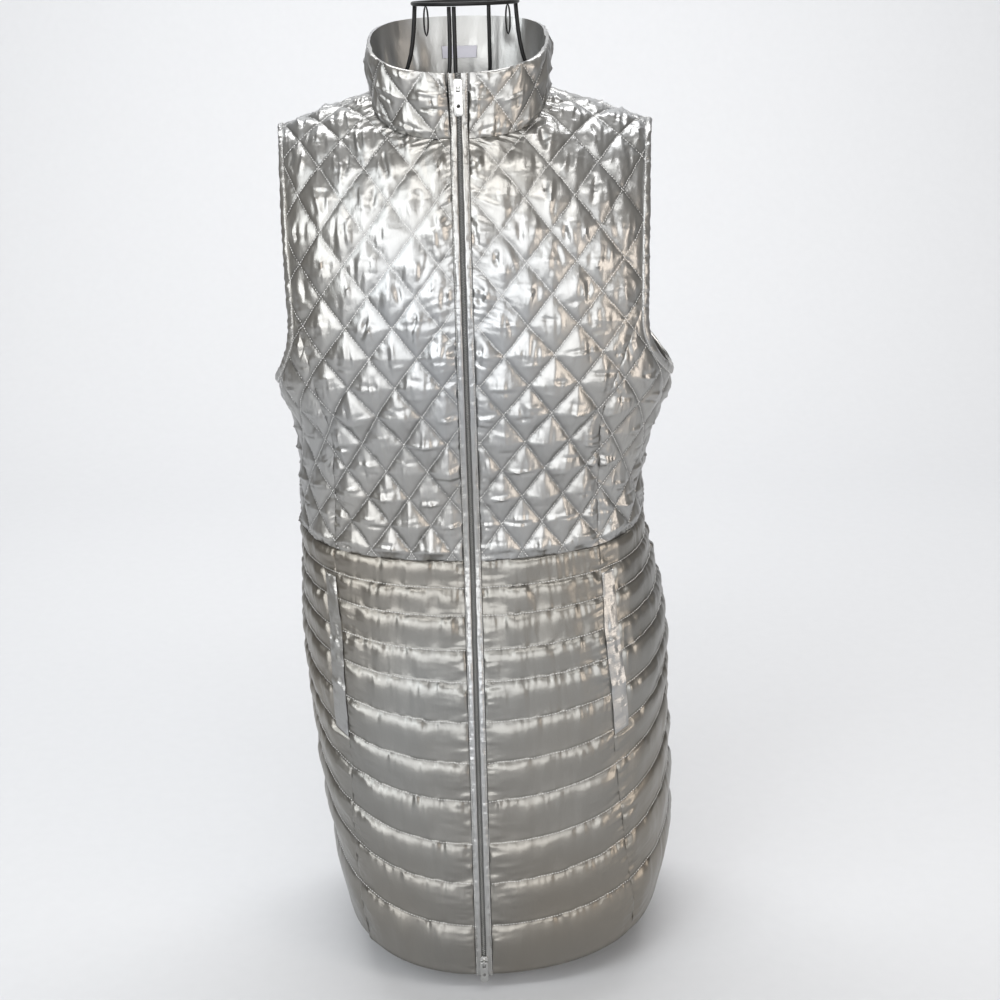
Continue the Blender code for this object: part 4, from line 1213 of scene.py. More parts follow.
class Finish(Enum):
    """The finishes of the vest, its zip and the form."""

    DIAMOND_SATIN = SatinFinish("silver_satin_diamonds")
    # The same satin as the diamonds', made darker and warmer as painted shade over the skirt, the lower
    # part of the vest.
    CHANNEL_SATIN_PAINTED_SHADE = SatinFinish("silver_satin_channels", cool=(0.262, 0.262, 0.253, 1),
                                warm=(0.243, 0.224, 0.195, 1), roughness=0.34, crinkle=0.0004,
                                creases=(210.0, 40.0, 1.0))
    BAND_SATIN = SatinFinish("silver_satin_bands", crinkle=0.0006, creases=(90.0, 420.0, 1.0))
    THREAD = PlainFinish("silver_thread", (0.80, 0.80, 0.79, 1), (0.66, 0.66, 0.65, 1), 0.38, 0.35,
                         (2500.0, 2500.0, 900.0), 0.0001)
    COIL = PlainFinish("nylon_coil", (0.36, 0.36, 0.35, 1), (0.24, 0.24, 0.23, 1), 0.30, 0.55,
                       (900.0, 900.0, 900.0), 0.0001)
    TAPE = PlainFinish("zip_tape", (0.17, 0.17, 0.17, 1), (0.11, 0.11, 0.11, 1), 0.62, 0.1,
                       (900.0, 900.0, 2200.0), 0.0002)
    METAL = PlainFinish("polished_zip_metal", (0.56, 0.56, 0.55, 1), (0.46, 0.46, 0.45, 1), 0.24, 1.0,
                        (300.0, 300.0, 1500.0), 0.00003)
    WIRE = PlainFinish("black_coated_wire", (0.008, 0.008, 0.009, 1), (0.012, 0.012, 0.012, 1), 0.40,
                       0.0, (700.0, 700.0, 700.0), 0.00008, shine=0.25)
    LABEL = PlainFinish("bare_label_tape", (0.62, 0.61, 0.68, 1), (0.55, 0.54, 0.60, 1), 0.55, 0.0,
                        (1800.0, 1800.0, 1800.0), 0.0001)
    FLOOR = PlainFinish("pale_floor", (0.60, 0.61, 0.63, 1), (0.58, 0.59, 0.61, 1), 0.75, 0.0,
                        (30.0, 30.0, 30.0), 0.0001)

    def material(self) -> bpy.types.Material:
        """Return the finish's material, made once."""
        return bpy.data.materials.get(self.value.name) or self.value.make()


class RepeatTree:
    """A Geometry Nodes tree that sets small rounded bars along lines.

    Inputs: Pitch, Half Size (of a bar, with Z along the line), Sway (to left and right by turns)
    and Seed, with the finish.
    """

    def __init__(self, name: str) -> None:
        """Build the tree.

        Args:
            name: Its name.
        """
        self.tree = bpy.data.node_groups.new(name, "GeometryNodeTree")
        self.tree.is_modifier = True
        face = self.tree.interface
        self.keys = {}
        face.new_socket("Geometry", in_out="INPUT", socket_type="NodeSocketGeometry")
        for key, kind in (("Pitch", "Float"), ("Half Size", "Vector"), ("Sway", "Float"),
                          ("Seed", "Int"), ("Finish", "Material")):
            socket = face.new_socket(key, in_out="INPUT", socket_type=f"NodeSocket{kind}")
            self.keys[key] = socket.identifier
        face.new_socket("Geometry", in_out="OUTPUT", socket_type="NodeSocketGeometry")
        graph = Graph(self.tree)
        given = graph.add("NodeGroupInput")
        line = graph.add("GeometryNodeMeshToCurve", None, {"Mesh": graph.out(given, "Geometry")})
        spaced = graph.add("GeometryNodeResampleCurve", {"mode": "LENGTH"},
                           {"Curve": graph.out(line), "Length": graph.out(given, "Pitch")})
        ball = graph.add("GeometryNodeMeshIcoSphere", None, {"Radius": 1.0, "Subdivisions": 1})
        bar = graph.add("GeometryNodeTransform", None,
                        {"Geometry": graph.out(ball), "Scale": graph.out(given, "Half Size")})
        along = graph.add("FunctionNodeAlignRotationToVector", {"axis": "Z"},
                          {"Vector": graph.out(graph.add("GeometryNodeInputTangent"))})
        square = graph.add("FunctionNodeAlignRotationToVector", {"axis": "X", "pivot_axis": "Z"},
                           {"Rotation": graph.out(along), "Vector": (1.0, 0.0, 0.0)})
        size = graph.add("FunctionNodeRandomValue", {"data_type": "FLOAT"},
                         {2: 0.88, 3: 1.12, "Seed": graph.out(given, "Seed")})
        bars = graph.add("GeometryNodeInstanceOnPoints", None,
                         {"Points": graph.out(spaced), "Instance": graph.out(bar),
                          "Rotation": graph.out(square), "Scale": graph.out(size, 1)})
        turn = graph.out(graph.add("GeometryNodeInputIndex")).math("MODULO", 2.0) * 2.0 - 1.0
        move = graph.add("ShaderNodeCombineXYZ", None, {0: turn * graph.out(given, "Sway")})
        swayed = graph.add("GeometryNodeTranslateInstances", None,
                           {"Instances": graph.out(bars), "Translation": graph.out(move)})
        real = graph.add("GeometryNodeRealizeInstances", None, {"Geometry": graph.out(swayed)})
        smooth = graph.add("GeometryNodeSetShadeSmooth", None, {"Geometry": graph.out(real)})
        dressed = graph.add("GeometryNodeSetMaterial", None,
                            {"Geometry": graph.out(smooth), "Material": graph.out(given, "Finish")})
        graph.add("NodeGroupOutput", None, {"Geometry": graph.out(dressed)})

    def along(self, name: str, lines: Sequence[Array], pitch: float, half: Place,
              finish: Finish, slot: str, sway: float = 0.0, seed: int = 1) -> bpy.types.Object:
        """Set bars along lines and return them as one piece.

        Args:
            name: The piece's name.
            lines: Lines of places.
            pitch: Distance from bar to bar.
            half: Half size of a bar, with Z along the line.
            finish: Its finish.
            slot: The record's material slot.
            sway: How far the bars stand off to the left and right by turns.
            seed: Seed of their sizes.

        Returns:
            The piece.
        """
        mesh = bpy.data.meshes.new(name)
        starts = np.cumsum([0] + [len(line) for line in lines]).tolist()
        edges = [(start + k, start + k + 1) for start, line in zip(starts, lines)
                 for k in range(len(line) - 1)]
        mesh.from_pydata(np.vstack(lines).tolist(), edges, [])
        piece = linked(name, mesh)
        modifier = piece.modifiers.new("repeat", "NODES")
        modifier.node_group = self.tree
        values = {"Pitch": pitch, "Half Size": half, "Sway": sway, "Seed": seed,
                  "Finish": finish.material()}
        for key, value in values.items():
            modifier[self.keys[key]] = value
        LOG.info("%s: %d faces", name, len(settle(piece).polygons))
        carry(piece, slot)
        return piece


def loft(name: str, rings: Array, finish: Finish, cloth: Array, closed: bool = False,
         slot: str = SATIN_SLOT, nodes: Sequence[str] = ()) -> bpy.types.Object:
    """Make a closed body through rings of points.

    Args:
        name: The piece's name.
        rings: Places as (ring, point, axis), each ring a closed line.
        finish: Its finish.
        cloth: The same points on the flat cloth, in metres.
        closed: Whether the last ring meets the first.
        slot: The record's material slot.
        nodes: The CAD nodes that it stands for.

    Returns:
        The piece.
    """
    count, size = rings.shape[:2]
    number = np.arange(count * size).reshape(count, size)
    turned = np.column_stack((number, number[:, 0]))
    grid = np.vstack((turned, turned[:1])) if closed else turned
    faces = quads(grid).tolist()
    if not closed:
        faces += [number[0, ::-1].tolist(), number[-1].tolist()]
    seam = np.ones(count * size)
    piece = shape_of(name, rings.reshape(-1, 3), faces, finish.material(), cloth.reshape(-1, 2), seam,
                     slot, nodes)
    shape = bmesh.new()
    shape.from_mesh(piece.data)
    bmesh.ops.recalc_face_normals(shape, faces=shape.faces)
    shape.to_mesh(piece.data)
    shape.free()
    return piece


def cad_copy(node: str, finish: Finish) -> tuple[bpy.types.Mesh, bmesh.types.BMesh]:
    """Return a copy of a CAD node's mesh in a finish, and its merged shape to work on.

    Args:
        node: The CAD node.
        finish: Its finish.

    Returns:
        The mesh and the shape.
    """
    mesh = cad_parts[node].data.copy()
    mesh.materials.clear()
    mesh.materials.append(finish.material())
    shape = bmesh.new()
    shape.from_mesh(mesh)
    bmesh.ops.remove_doubles(shape, verts=shape.verts, dist=MERGE)
    return mesh, shape


def finish_copy(mesh: bpy.types.Mesh, shape: bmesh.types.BMesh, sharp: float | None) -> None:
    """Put a worked shape back in its mesh and shade it, with edges sharp above an angle.

    Args:
        mesh: The mesh.
        shape: Its worked shape.
        sharp: The angle in degrees, or None for smooth edges alone.
    """
    shape.to_mesh(mesh)
    shape.free()
    mesh.shade_smooth()
    if sharp is not None:
        mesh.set_sharp_from_angle(angle=math.radians(sharp))


@dataclass
class CollarSurface:
    """The stand collar's surface, from the neck seam to its top ring.

    Its cloth points are (columns round from the front by the right, height above the seam).

    Attributes:
        figure: The figure.
        pattern: The pattern.
        half_width: Half width of the top ring.
        depth: Its depth before and behind the figure's middle.
        tops: Its height at the front, the sides and the back.
        lift: How far the seam lies above the body's wall.
        overlap: How far the collar reaches below its seam.
        count: Points round the ring.
    """

    figure: Figure
    pattern: Pattern
    half_width: float = 0.088
    depth: tuple[float, float] = (0.080, 0.068)
    tops: Place = (0.945, 0.974, 0.992)
    lift: float = 0.0036
    overlap: float = 0.0030
    count: int = 193

    def __post_init__(self) -> None:
        """Lay out the seam and the top ring."""
        figure, seam, top = self.figure, [], []
        front, side_top, back_top = self.tops
        bend = (front - 2 * side_top + back_top) / 4
        tilt = (back_top - front) / 2
        for turn in np.linspace(0, 2 * math.pi, self.count):
            side, half_turn = (1, turn) if turn <= math.pi else (-1, 2 * math.pi - turn)
            x, height = self.pattern.neck_point(half_turn)
            column, up = figure.cloth_at(side, x, height, half_turn > math.pi / 2)
            seam.append(figure.points(np.array([(side * column, up)]))[0] + (0, 0, self.lift))
            depth = self.depth[0] if half_turn <= math.pi / 2 else self.depth[1]
            rise = side_top + bend - tilt * math.cos(half_turn) + bend * math.cos(2 * half_turn)
            top.append((side * self.half_width * figure.x_share(half_turn) + figure.shift[0],
                        -depth * figure.y_share(half_turn) + figure.shift[1], rise))
        self.seam, self.top = np.array(seam), np.array(top)
        self.run = run_of((self.seam + self.top) / 2) / COLUMN
        self.height = np.linalg.norm(self.top - self.seam, axis=1)
        near = self.count // 16
        self.first = float(np.interp(BAND_OUTER, self.seam[:near, 0] - figure.shift[0], self.run[:near]))

    def points(self, cloth: Array) -> Array:
        """Return the middle of the collar's wall at cloth points.

        Args:
            cloth: Cloth points.

        Returns:
            Their places.
        """
        across = cloth[..., 0] % self.run[-1]
        seam, top = (np.stack([np.interp(across, self.run, ring[:, k]) for k in range(3)], -1)
                     for ring in (self.seam, self.top))
        height = np.interp(across, self.run, self.height)
        return seam + (top - seam) * (cloth[..., 1] / height)[..., None]

    def patch(self, count: int = 120) -> Patch:
        """Return the collar's patch from band to band.

        Args:
            count: Points on each long edge.

        Returns:
            The patch.
        """
        around = np.linspace(self.first, self.run[-1] - self.first, count)
        top = [(across, float(np.interp(across, self.run, self.height))) for across in around]
        bottom = [(across, -self.overlap) for across in around]
        return Patch(bottom, top, [bottom[0], top[0]], [bottom[-1], top[-1]], step=0.0014)


def away_from(line: Array, cloth: Array) -> Array:
    """Return how far cloth points lie from a line, in metres on the flat cloth.

    Args:
        line: The line, as cloth points.
        cloth: Cloth points.

    Returns:
        The distances.
    """
    flat = cloth.reshape(-1, 2) * FLAT
    best = np.full(len(flat), np.inf)
    for point, step in zip(line[:-1] * FLAT, np.diff(line * FLAT, axis=0)):
        share = np.clip(((flat - point) @ step) / max(step @ step, 1e-12), 0, 1)
        best = np.minimum(best, np.linalg.norm(flat - point - share[:, None] * step, axis=1))
    return best.reshape(cloth.shape[:-1])


@dataclass(frozen=True)
class Welts:
    """The folded pocket welts beside the princess seams.

    Attributes:
        width: Width in columns where the seam's top is.
        bottom, top: Heights of the ends.
        lift: How far the underside lies off the wall.
        crown: Height of the fold.
        wave: Height of the small folds, and of the puckers.
        puckers: Height of each pucker up the vest, and its share of the full one.
        bare: How flat the quilting is pressed, and the distance over which it grows again.
    """

    width: float = 0.33
    bottom: float = 0.255
    top: float = 0.436
    lift: float = 0.0004
    crown: float = 0.0016
    wave: tuple[float, float] = (0.0006, 0.0008)
    puckers: Pairs = ((0.313, 1.0), (0.362, 0.7))
    bare: tuple[float, float] = (0.04, 0.0035)

    def share(self, pattern: Pattern, side: int) -> float:
        """Return the share of the side panel's width that a welt covers."""
        return self.width / (SIDE_SEAM - float(pattern.princess[side](self.top)))

    def press(self, pattern: Pattern, side: int) -> Press:
        """Return what presses the quilting flat under a welt.

        Args:
            pattern: The pattern.
            side: -1 for the left, 1 for the right.

        Returns:
            The function.
        """
        share = self.share(pattern, side)
        least, grown = self.bare

        def pressed(cloth: Array, relief: Array) -> Array:
            """Return the relief with the welt's place flat."""
            up = cloth[..., 1]
            seam = pattern.princess[side](up)
            inward = (np.abs(cloth[..., 0]) - seam - share * (SIDE_SEAM - seam)) * COLUMN
            outside = np.maximum.reduce((inward, self.bottom - up, up - self.top))
            return relief * np.clip(least + outside / grown, least, 1)

        return pressed

    def build(self, figure: Figure, pattern: Pattern, side: int, name: str) -> None:
        """Build one welt.

        Args:
            figure: The figure.
            pattern: The pattern.
            side: -1 for the left, 1 for the right.
            name: Left or right.
        """
        ups = np.linspace(self.bottom + 0.0003, self.top - 0.0003, 121)
        parts = np.linspace(0.04, 0.96, 11)
        seam = pattern.princess[side](ups)
        columns = seam[:, None] + parts[None] * self.share(pattern, side) * (SIDE_SEAM - seam)[:, None]
        cloth = np.stack((side * columns, np.broadcast_to(ups[:, None], columns.shape)), -1)
        points, normals = figure.points(cloth), normals_of(figure.points, cloth)
        puckers = sum(share * np.exp(-((ups - up) / 0.004) ** 2) for up, share in self.puckers)[:, None]
        wave = self.wave[0] * ripple(ups[:, None] / 0.009, 4 * parts[None], 90 + side)
        wave = wave * (1 + 1.5 * puckers) + self.wave[1] * puckers
        ends = np.clip(np.minimum(ups - ups[0], ups[-1] - ups) / 0.0025, 0, 1)[:, None] ** 0.5
        crown = self.crown * (0.55 + 0.45 * np.sin(math.pi * parts) ** 0.3)[None] * (0.4 + 0.6 * ends)
        low = points + normals * (WALL / 2 + self.lift)
        high = low + normals * (crown + np.maximum(wave, -0.0005))[..., None]
        rings = np.concatenate((low, high[:, ::-1]), axis=1)
        flat = cloth * FLAT
        loft(f"welt_{name}", rings, Finish.BAND_SATIN, np.concatenate((flat, flat[:, ::-1]), axis=1),
             nodes=(f"pocket_welt_{name}",))


@dataclass(frozen=True)
class ArmholeBinding:
    """The gathered band that turns over an armhole's edge.

    Attributes:
        width: How far it reaches onto the cloth.
        rib: Distance from rib to rib.
        ribbed: Height of the ribs, as a share of the band's.
        section: (share of the width, how far out of the wall) from the outside round to the inside.
        points: Points on the front's and the back's edge.
        easing: Rings on each side of the joints of front and back that are eased.
        thread: How far the topstitching lies off the band.
    """

    width: float = 0.0085
    rib: float = 0.0034
    ribbed: float = 0.30
    section: Pairs = (
        (1.00, 0.0011), (0.93, 0.0022), (0.72, 0.0029), (0.45, 0.0031), (0.20, 0.0028),
        (0.02, 0.0019), (-0.06, 0.0006), (-0.06, -0.0006), (0.02, -0.0019), (0.20, -0.0027),
        (0.60, -0.0026), (0.93, -0.0020), (1.00, -0.0011),
    )
    points: tuple[int, int] = (240, 260)
    easing: int = 6
    thread: float = 0.0005

    def line(self, pattern: Pattern, side: int) -> tuple[Array, Array]:
        """Return the edge round the armhole and the flat directions into the cloth.

        Args:
            pattern: The pattern.
            side: -1 for the left, 1 for the right.

        Returns:
            The edge and the directions.
        """
        front = even_line(pattern.armhole(side, UNDERARM, False), self.points[0])
        back = even_line(pattern.armhole(side, UNDERARM, True)[::-1], self.points[1])
        edge, inward = [], []
        for line in (front, back):
            ahead = np.gradient(line * FLAT, axis=0)
            ahead /= np.linalg.norm(ahead, axis=1)[:, None]
            edge.append(line[:-1])
            inward.append(np.column_stack((-ahead[:, 1], ahead[:, 0]))[:-1])
        return np.vstack(edge), np.vstack(inward)

    def build(self, figure: Figure, pattern: Pattern, side: int, name: str) -> list[Array]:
        """Build one binding.

        Args:
            figure: The figure.
            pattern: The pattern.
            side: -1 for the left, 1 for the right.
            name: Left or right.

        Returns:
            The lines of its topstitching.
        """
        edge, inward = self.line(pattern, side)
        shares, outs = np.array(self.section).T
        cloth = edge[:, None] + inward[:, None] * (shares * self.width)[None, :, None] / FLAT
        cloth = cloth * (side, 1)
        middle, normals = figure.points(cloth), normals_of(figure.points, cloth)
        run = run_of(edge * FLAT)[:, None]
        ribs = ripple(run / self.rib, 2.2 * shares[None], 40 + side)
        ribs += 0.5 * ripple(run / (2.7 * self.rib), 3 * shares[None], 50 + side)
        height = outs[None] * (1 + self.ribbed * ribs)
        rings = middle + normals * height[..., None]
        shoulder = self.points[0] - 1
        eased = [*range(self.easing), *range(shoulder - self.easing + 1, shoulder + self.easing)]
        for _ in range(3):
            before, after = np.roll(rings, 1, 0)[eased], np.roll(rings, -1, 0)[eased]
            rings[eased] = (before + 2 * rings[eased] + after) / 4
        along = np.broadcast_to(run, height.shape)
        drawn = np.broadcast_to(0.0015 * np.arange(1, len(shares) + 1), height.shape)
        loft(f"armhole_binding_{name}", rings, Finish.BAND_SATIN, np.stack((drawn, along), -1),
             closed=True)
        seam = rings[:, 1] + normals[:, 1] * self.thread
        return [np.vstack((seam, seam[:1]))]


@dataclass
class FrontEdge:
    """The centre front, from the hem up the body and on up the collar.

    Attributes:
        figure: The figure.
        collar: The collar's surface.
        counts: Stations on the body and on the collar.
        clearance: How far the stations keep from the neck seam, where the strip is eased.
    """

    figure: Figure
    collar: CollarSurface
    counts: tuple[int, int] = (760, 56)
    clearance: float = 0.006

    def __post_init__(self) -> None:
        """Lay the stations."""
        figure, collar = self.figure, self.collar
        top = figure.cloth_at(1, 0.0, FRONT_NECK)[1]
        self.body = np.linspace(HEM, top - self.clearance, self.counts[0])
        self.neck = np.linspace(self.clearance, collar.height[0], self.counts[1])
        self.middle = self.at(np.zeros(1))[:, 0]
        self.normals = self.even(np.vstack([
            normals_of(surface.points, np.column_stack((0 * ups, ups)))
            for surface, ups in ((figure, self.body), (collar, self.neck))]))
        self.run = run_of(self.middle)

    @staticmethod
    def even(values: Array, rounds: int = 6) -> Array:
        """Return values along the front, eased where the body meets the collar.

        Args:
            values: A row for each station.
            rounds: How often they are eased.

        Returns:
            The eased values.
        """
        eased = values.copy()
        for _ in range(rounds):
            eased[1:-1] = (eased[:-2] + 2 * eased[1:-1] + eased[2:]) / 4
        return eased

    def at(self, across: Array) -> Array:
        """Return the wall's middle at each station and each distance from the centre front.

        Args:
            across: Distances from the centre front.

        Returns:
            The places.
        """
        rows = []
        for x in across:
            columns = x / self.figure.column_width(1 if x >= 0 else -1, self.body)
            body = self.figure.points(np.column_stack((columns, self.body)))
            neck = self.collar.points(np.column_stack((np.full_like(self.neck, x / COLUMN), self.neck)))
            rows.append(self.even(np.vstack((body, neck))))
        return np.stack(rows, axis=1)

    def strip(self, name: str, profile: Array, finish: Finish, slot: str, node: str,
              relief: float | Array = 0.0) -> None:
        """Make a strip up the front whose section is a closed line of (across, out).

        Args:
            name: The piece's name.
            profile: The section.
            finish: Its finish.
            slot: The record's material slot.
            node: The CAD node that it stands for.
            relief: Further height of each station and section point.
        """
        out = np.broadcast_to(profile[None, :, 1] + relief, (len(self.run), len(profile)))
        rings = self.at(profile[:, 0]) + self.normals[:, None] * out[..., None]
        along = np.broadcast_to(self.run[:, None], out.shape)
        drawn = np.broadcast_to(np.arange(len(profile))[None] * 0.001, out.shape)
        loft(name, rings, finish, np.stack((drawn, along), -1), slot=slot, nodes=(node,))


@dataclass(frozen=True)
class FrontZip:
    """The bands, the chain on its tape, the sliders and their pull tabs.

    Attributes:
        band_lift: Height of a band above the wall.
        band_section: (share of the width, share of the lift) from the zip outwards.
        stitched: The point of that section where the band is stitched.
        band_folds: Height of a band's small folds.
        tape_half: Half width of the tape.
        tape_thickness: Its thickness.
        tape_drop: How far it lies under the wall.
        tooth_pitch: Distance from tooth to tooth.
        tooth: Half size of a tooth.
        tooth_sway: How far the teeth stand to left and right by turns.
    """

    band_lift: float = 0.0016
    band_section: Pairs = (
        (0.0, 0.0), (0.03, 0.6), (0.12, 0.95), (0.3, 1.0), (0.55, 0.95), (0.75, 0.85), (0.84, 0.45),
        (0.92, 0.75), (1.0, 0.1),
    )
    stitched: int = 6
    band_folds: float = 0.0006
    tape_half: float = 0.0085
    tape_thickness: float = 0.0007
    tape_drop: float = 0.0003
    tooth_pitch: float = 0.00125
    tooth: Place = (0.00175, 0.00085, 0.00050)
    tooth_sway: float = 0.00065

    def band(self, front: FrontEdge, side: int, name: str) -> list[Array]:
        """Build one band and return its topstitching lines.

        Args:
            front: The centre front.
            side: -1 for the left, 1 for the right.
            name: Left or right.

        Returns:
            The lines.
        """
        face, inner, outer = WALL / 2, BAND_INNER - 0.0008, BAND_OUTER - 0.0002
        shares, rises = np.array(self.band_section).T
        top = np.column_stack((inner + shares * (outer - inner), face + self.band_lift * rises))
        profile = np.vstack(([(inner, -face)], top, [(outer, -face)]))
        profile[:, 0] *= side
        seed, run = 70 + side, front.run[:, None]
        folds = ripple(run / 0.0050, 3 * shares[None], seed)
        folds += 0.5 * ripple(run / 0.0023, 2 * shares[None], seed + 5)
        folds += 0.9 * ripple(run / 0.017, 2 * shares[None], seed + 9)
        relief = np.zeros((len(front.run), len(profile)))
        relief[:, 1:-1] = self.band_folds * folds * (0.2 + np.minimum(1, shares + 0.15))[None]
        front.strip(f"front_band_{name}", profile, Finish.BAND_SATIN, SATIN_SLOT, f"band_{name}", relief)
        across, height = profile[self.stitched + 1]
        rise = height + relief[:, self.stitched + 1] + 0.0003
        return [front.at(np.array([across]))[:, 0] + front.normals * rise[:, None]]

    def chain(self, front: FrontEdge, repeat: RepeatTree) -> None:
        """Build the tape and the coil's teeth.

        Args:
            front: The centre front.
            repeat: The tree that makes the teeth.
        """
        high = -WALL / 2 - self.tape_drop
        across = np.linspace(-self.tape_half, self.tape_half, 9)
        top, bottom = (np.column_stack((across, np.full(9, level)))
                       for level in (high, high - self.tape_thickness))
        front.strip("zip_tape", np.vstack((top, bottom[::-1])), Finish.TAPE, METAL_SLOT, "zip_chain")
        middle = front.middle - front.normals * 0.0002
        repeat.along("zip_coil", [middle], self.tooth_pitch, self.tooth, Finish.COIL, METAL_SLOT,
                     sway=self.tooth_sway, seed=3)

    @staticmethod
    def metal(node: str, name: str, body: str, bevel: float) -> None:
        """Build a rounded copy of a slider or pull tab.

        Args:
            node: The CAD node.
            name: The piece's name.
            body: The body that it rides on.
            bevel: Radius of its edges.
        """
        mesh, shape = cad_copy(node, Finish.METAL)
        bmesh.ops.dissolve_limit(shape, angle_limit=0.02, verts=shape.verts, edges=shape.edges)
        sharp = [edge for edge in shape.edges if edge.calc_face_angle(0.0) > 0.5]
        bmesh.ops.bevel(shape, geom=sharp, offset=bevel, segments=3, profile=0.5, affect="EDGES",
                        clamp_overlap=True)
        finish_copy(mesh, shape, 50)
        carry(linked(name, mesh), METAL_SLOT, body, (node,))


@dataclass(frozen=True)
class DressForm:
    """The black wire form, made smooth from its solids.

    Attributes:
        grow: How far a smoothed wire grows to keep its gauge.
        thin: The share of that for the thin wires.
        thin_nodes: The thin wires.
        end: Angle above which an edge is the rim of a wire's end, which stays sharp.
        rim: Radius of a foot's edges.
    """

    grow: float = 0.00018
    thin: float = 0.45
    thin_nodes: tuple[str, ...] = ("form_loop_left", "form_loop_right")
    end: float = 1.3
    rim: float = 0.0015

    def build(self) -> None:
        """Build every wire, ring and foot."""
        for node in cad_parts:
            if node.startswith("form_"):
                make = self.foot if "foot" in node else self.wire
                carry(make(node, node.replace("form_", "wire_")), WIRE_SLOT, nodes=(node,))

    def foot(self, node: str, name: str) -> bpy.types.Object:
        """Return a foot with round edges.

        Args:
            node: Its CAD node.
            name: Its name.

        Returns:
            The foot.
        """
        mesh, shape = self.merged(node)
        sharp = [edge for edge in shape.edges if edge.calc_face_angle(0.0) > 1.0]
        bmesh.ops.bevel(shape, geom=sharp, offset=self.rim, segments=4, profile=0.5, affect="EDGES")
        finish_copy(mesh, shape, 40)
        return linked(name, mesh)

    def wire(self, node: str, name: str) -> bpy.types.Object:
        """Return a smooth wire or ring of the same gauge.

        Args:
            node: Its CAD node.
            name: Its name.

        Returns:
            The wire.
        """
        mesh, shape = self.merged(node)
        crease = shape.edges.layers.float.new("crease_edge")
        for edge in shape.edges:
            edge[crease] = float(edge.calc_face_angle(0.0) > self.end)
        finish_copy(mesh, shape, None)
        piece = linked(name, mesh)
        rounded = piece.modifiers.new("round", "SUBSURF")
        rounded.levels = rounded.render_levels = 2
        rounded.boundary_smooth = "PRESERVE_CORNERS"
        smooth = settle(piece)
        grow = self.grow * (self.thin if node in self.thin_nodes else 1.0)
        normals = np.array([vertex.normal for vertex in smooth.vertices])
        places = np.array([vertex.co for vertex in smooth.vertices]) + normals * grow
        smooth.vertices.foreach_set("co", places.ravel())
        return piece

    @staticmethod
    def merged(node: str) -> tuple[bpy.types.Mesh, bmesh.types.BMesh]:
        """Return a copy of a node's mesh, and its shape in four-sided faces.

        Args:
            node: The CAD node.

        Returns:
            The mesh and the shape.
        """
        mesh, shape = cad_copy(node, Finish.WIRE)
        bmesh.ops.join_triangles(shape, faces=shape.faces, angle_face_threshold=0.35,
                                 angle_shape_threshold=1.0)
        return mesh, shape


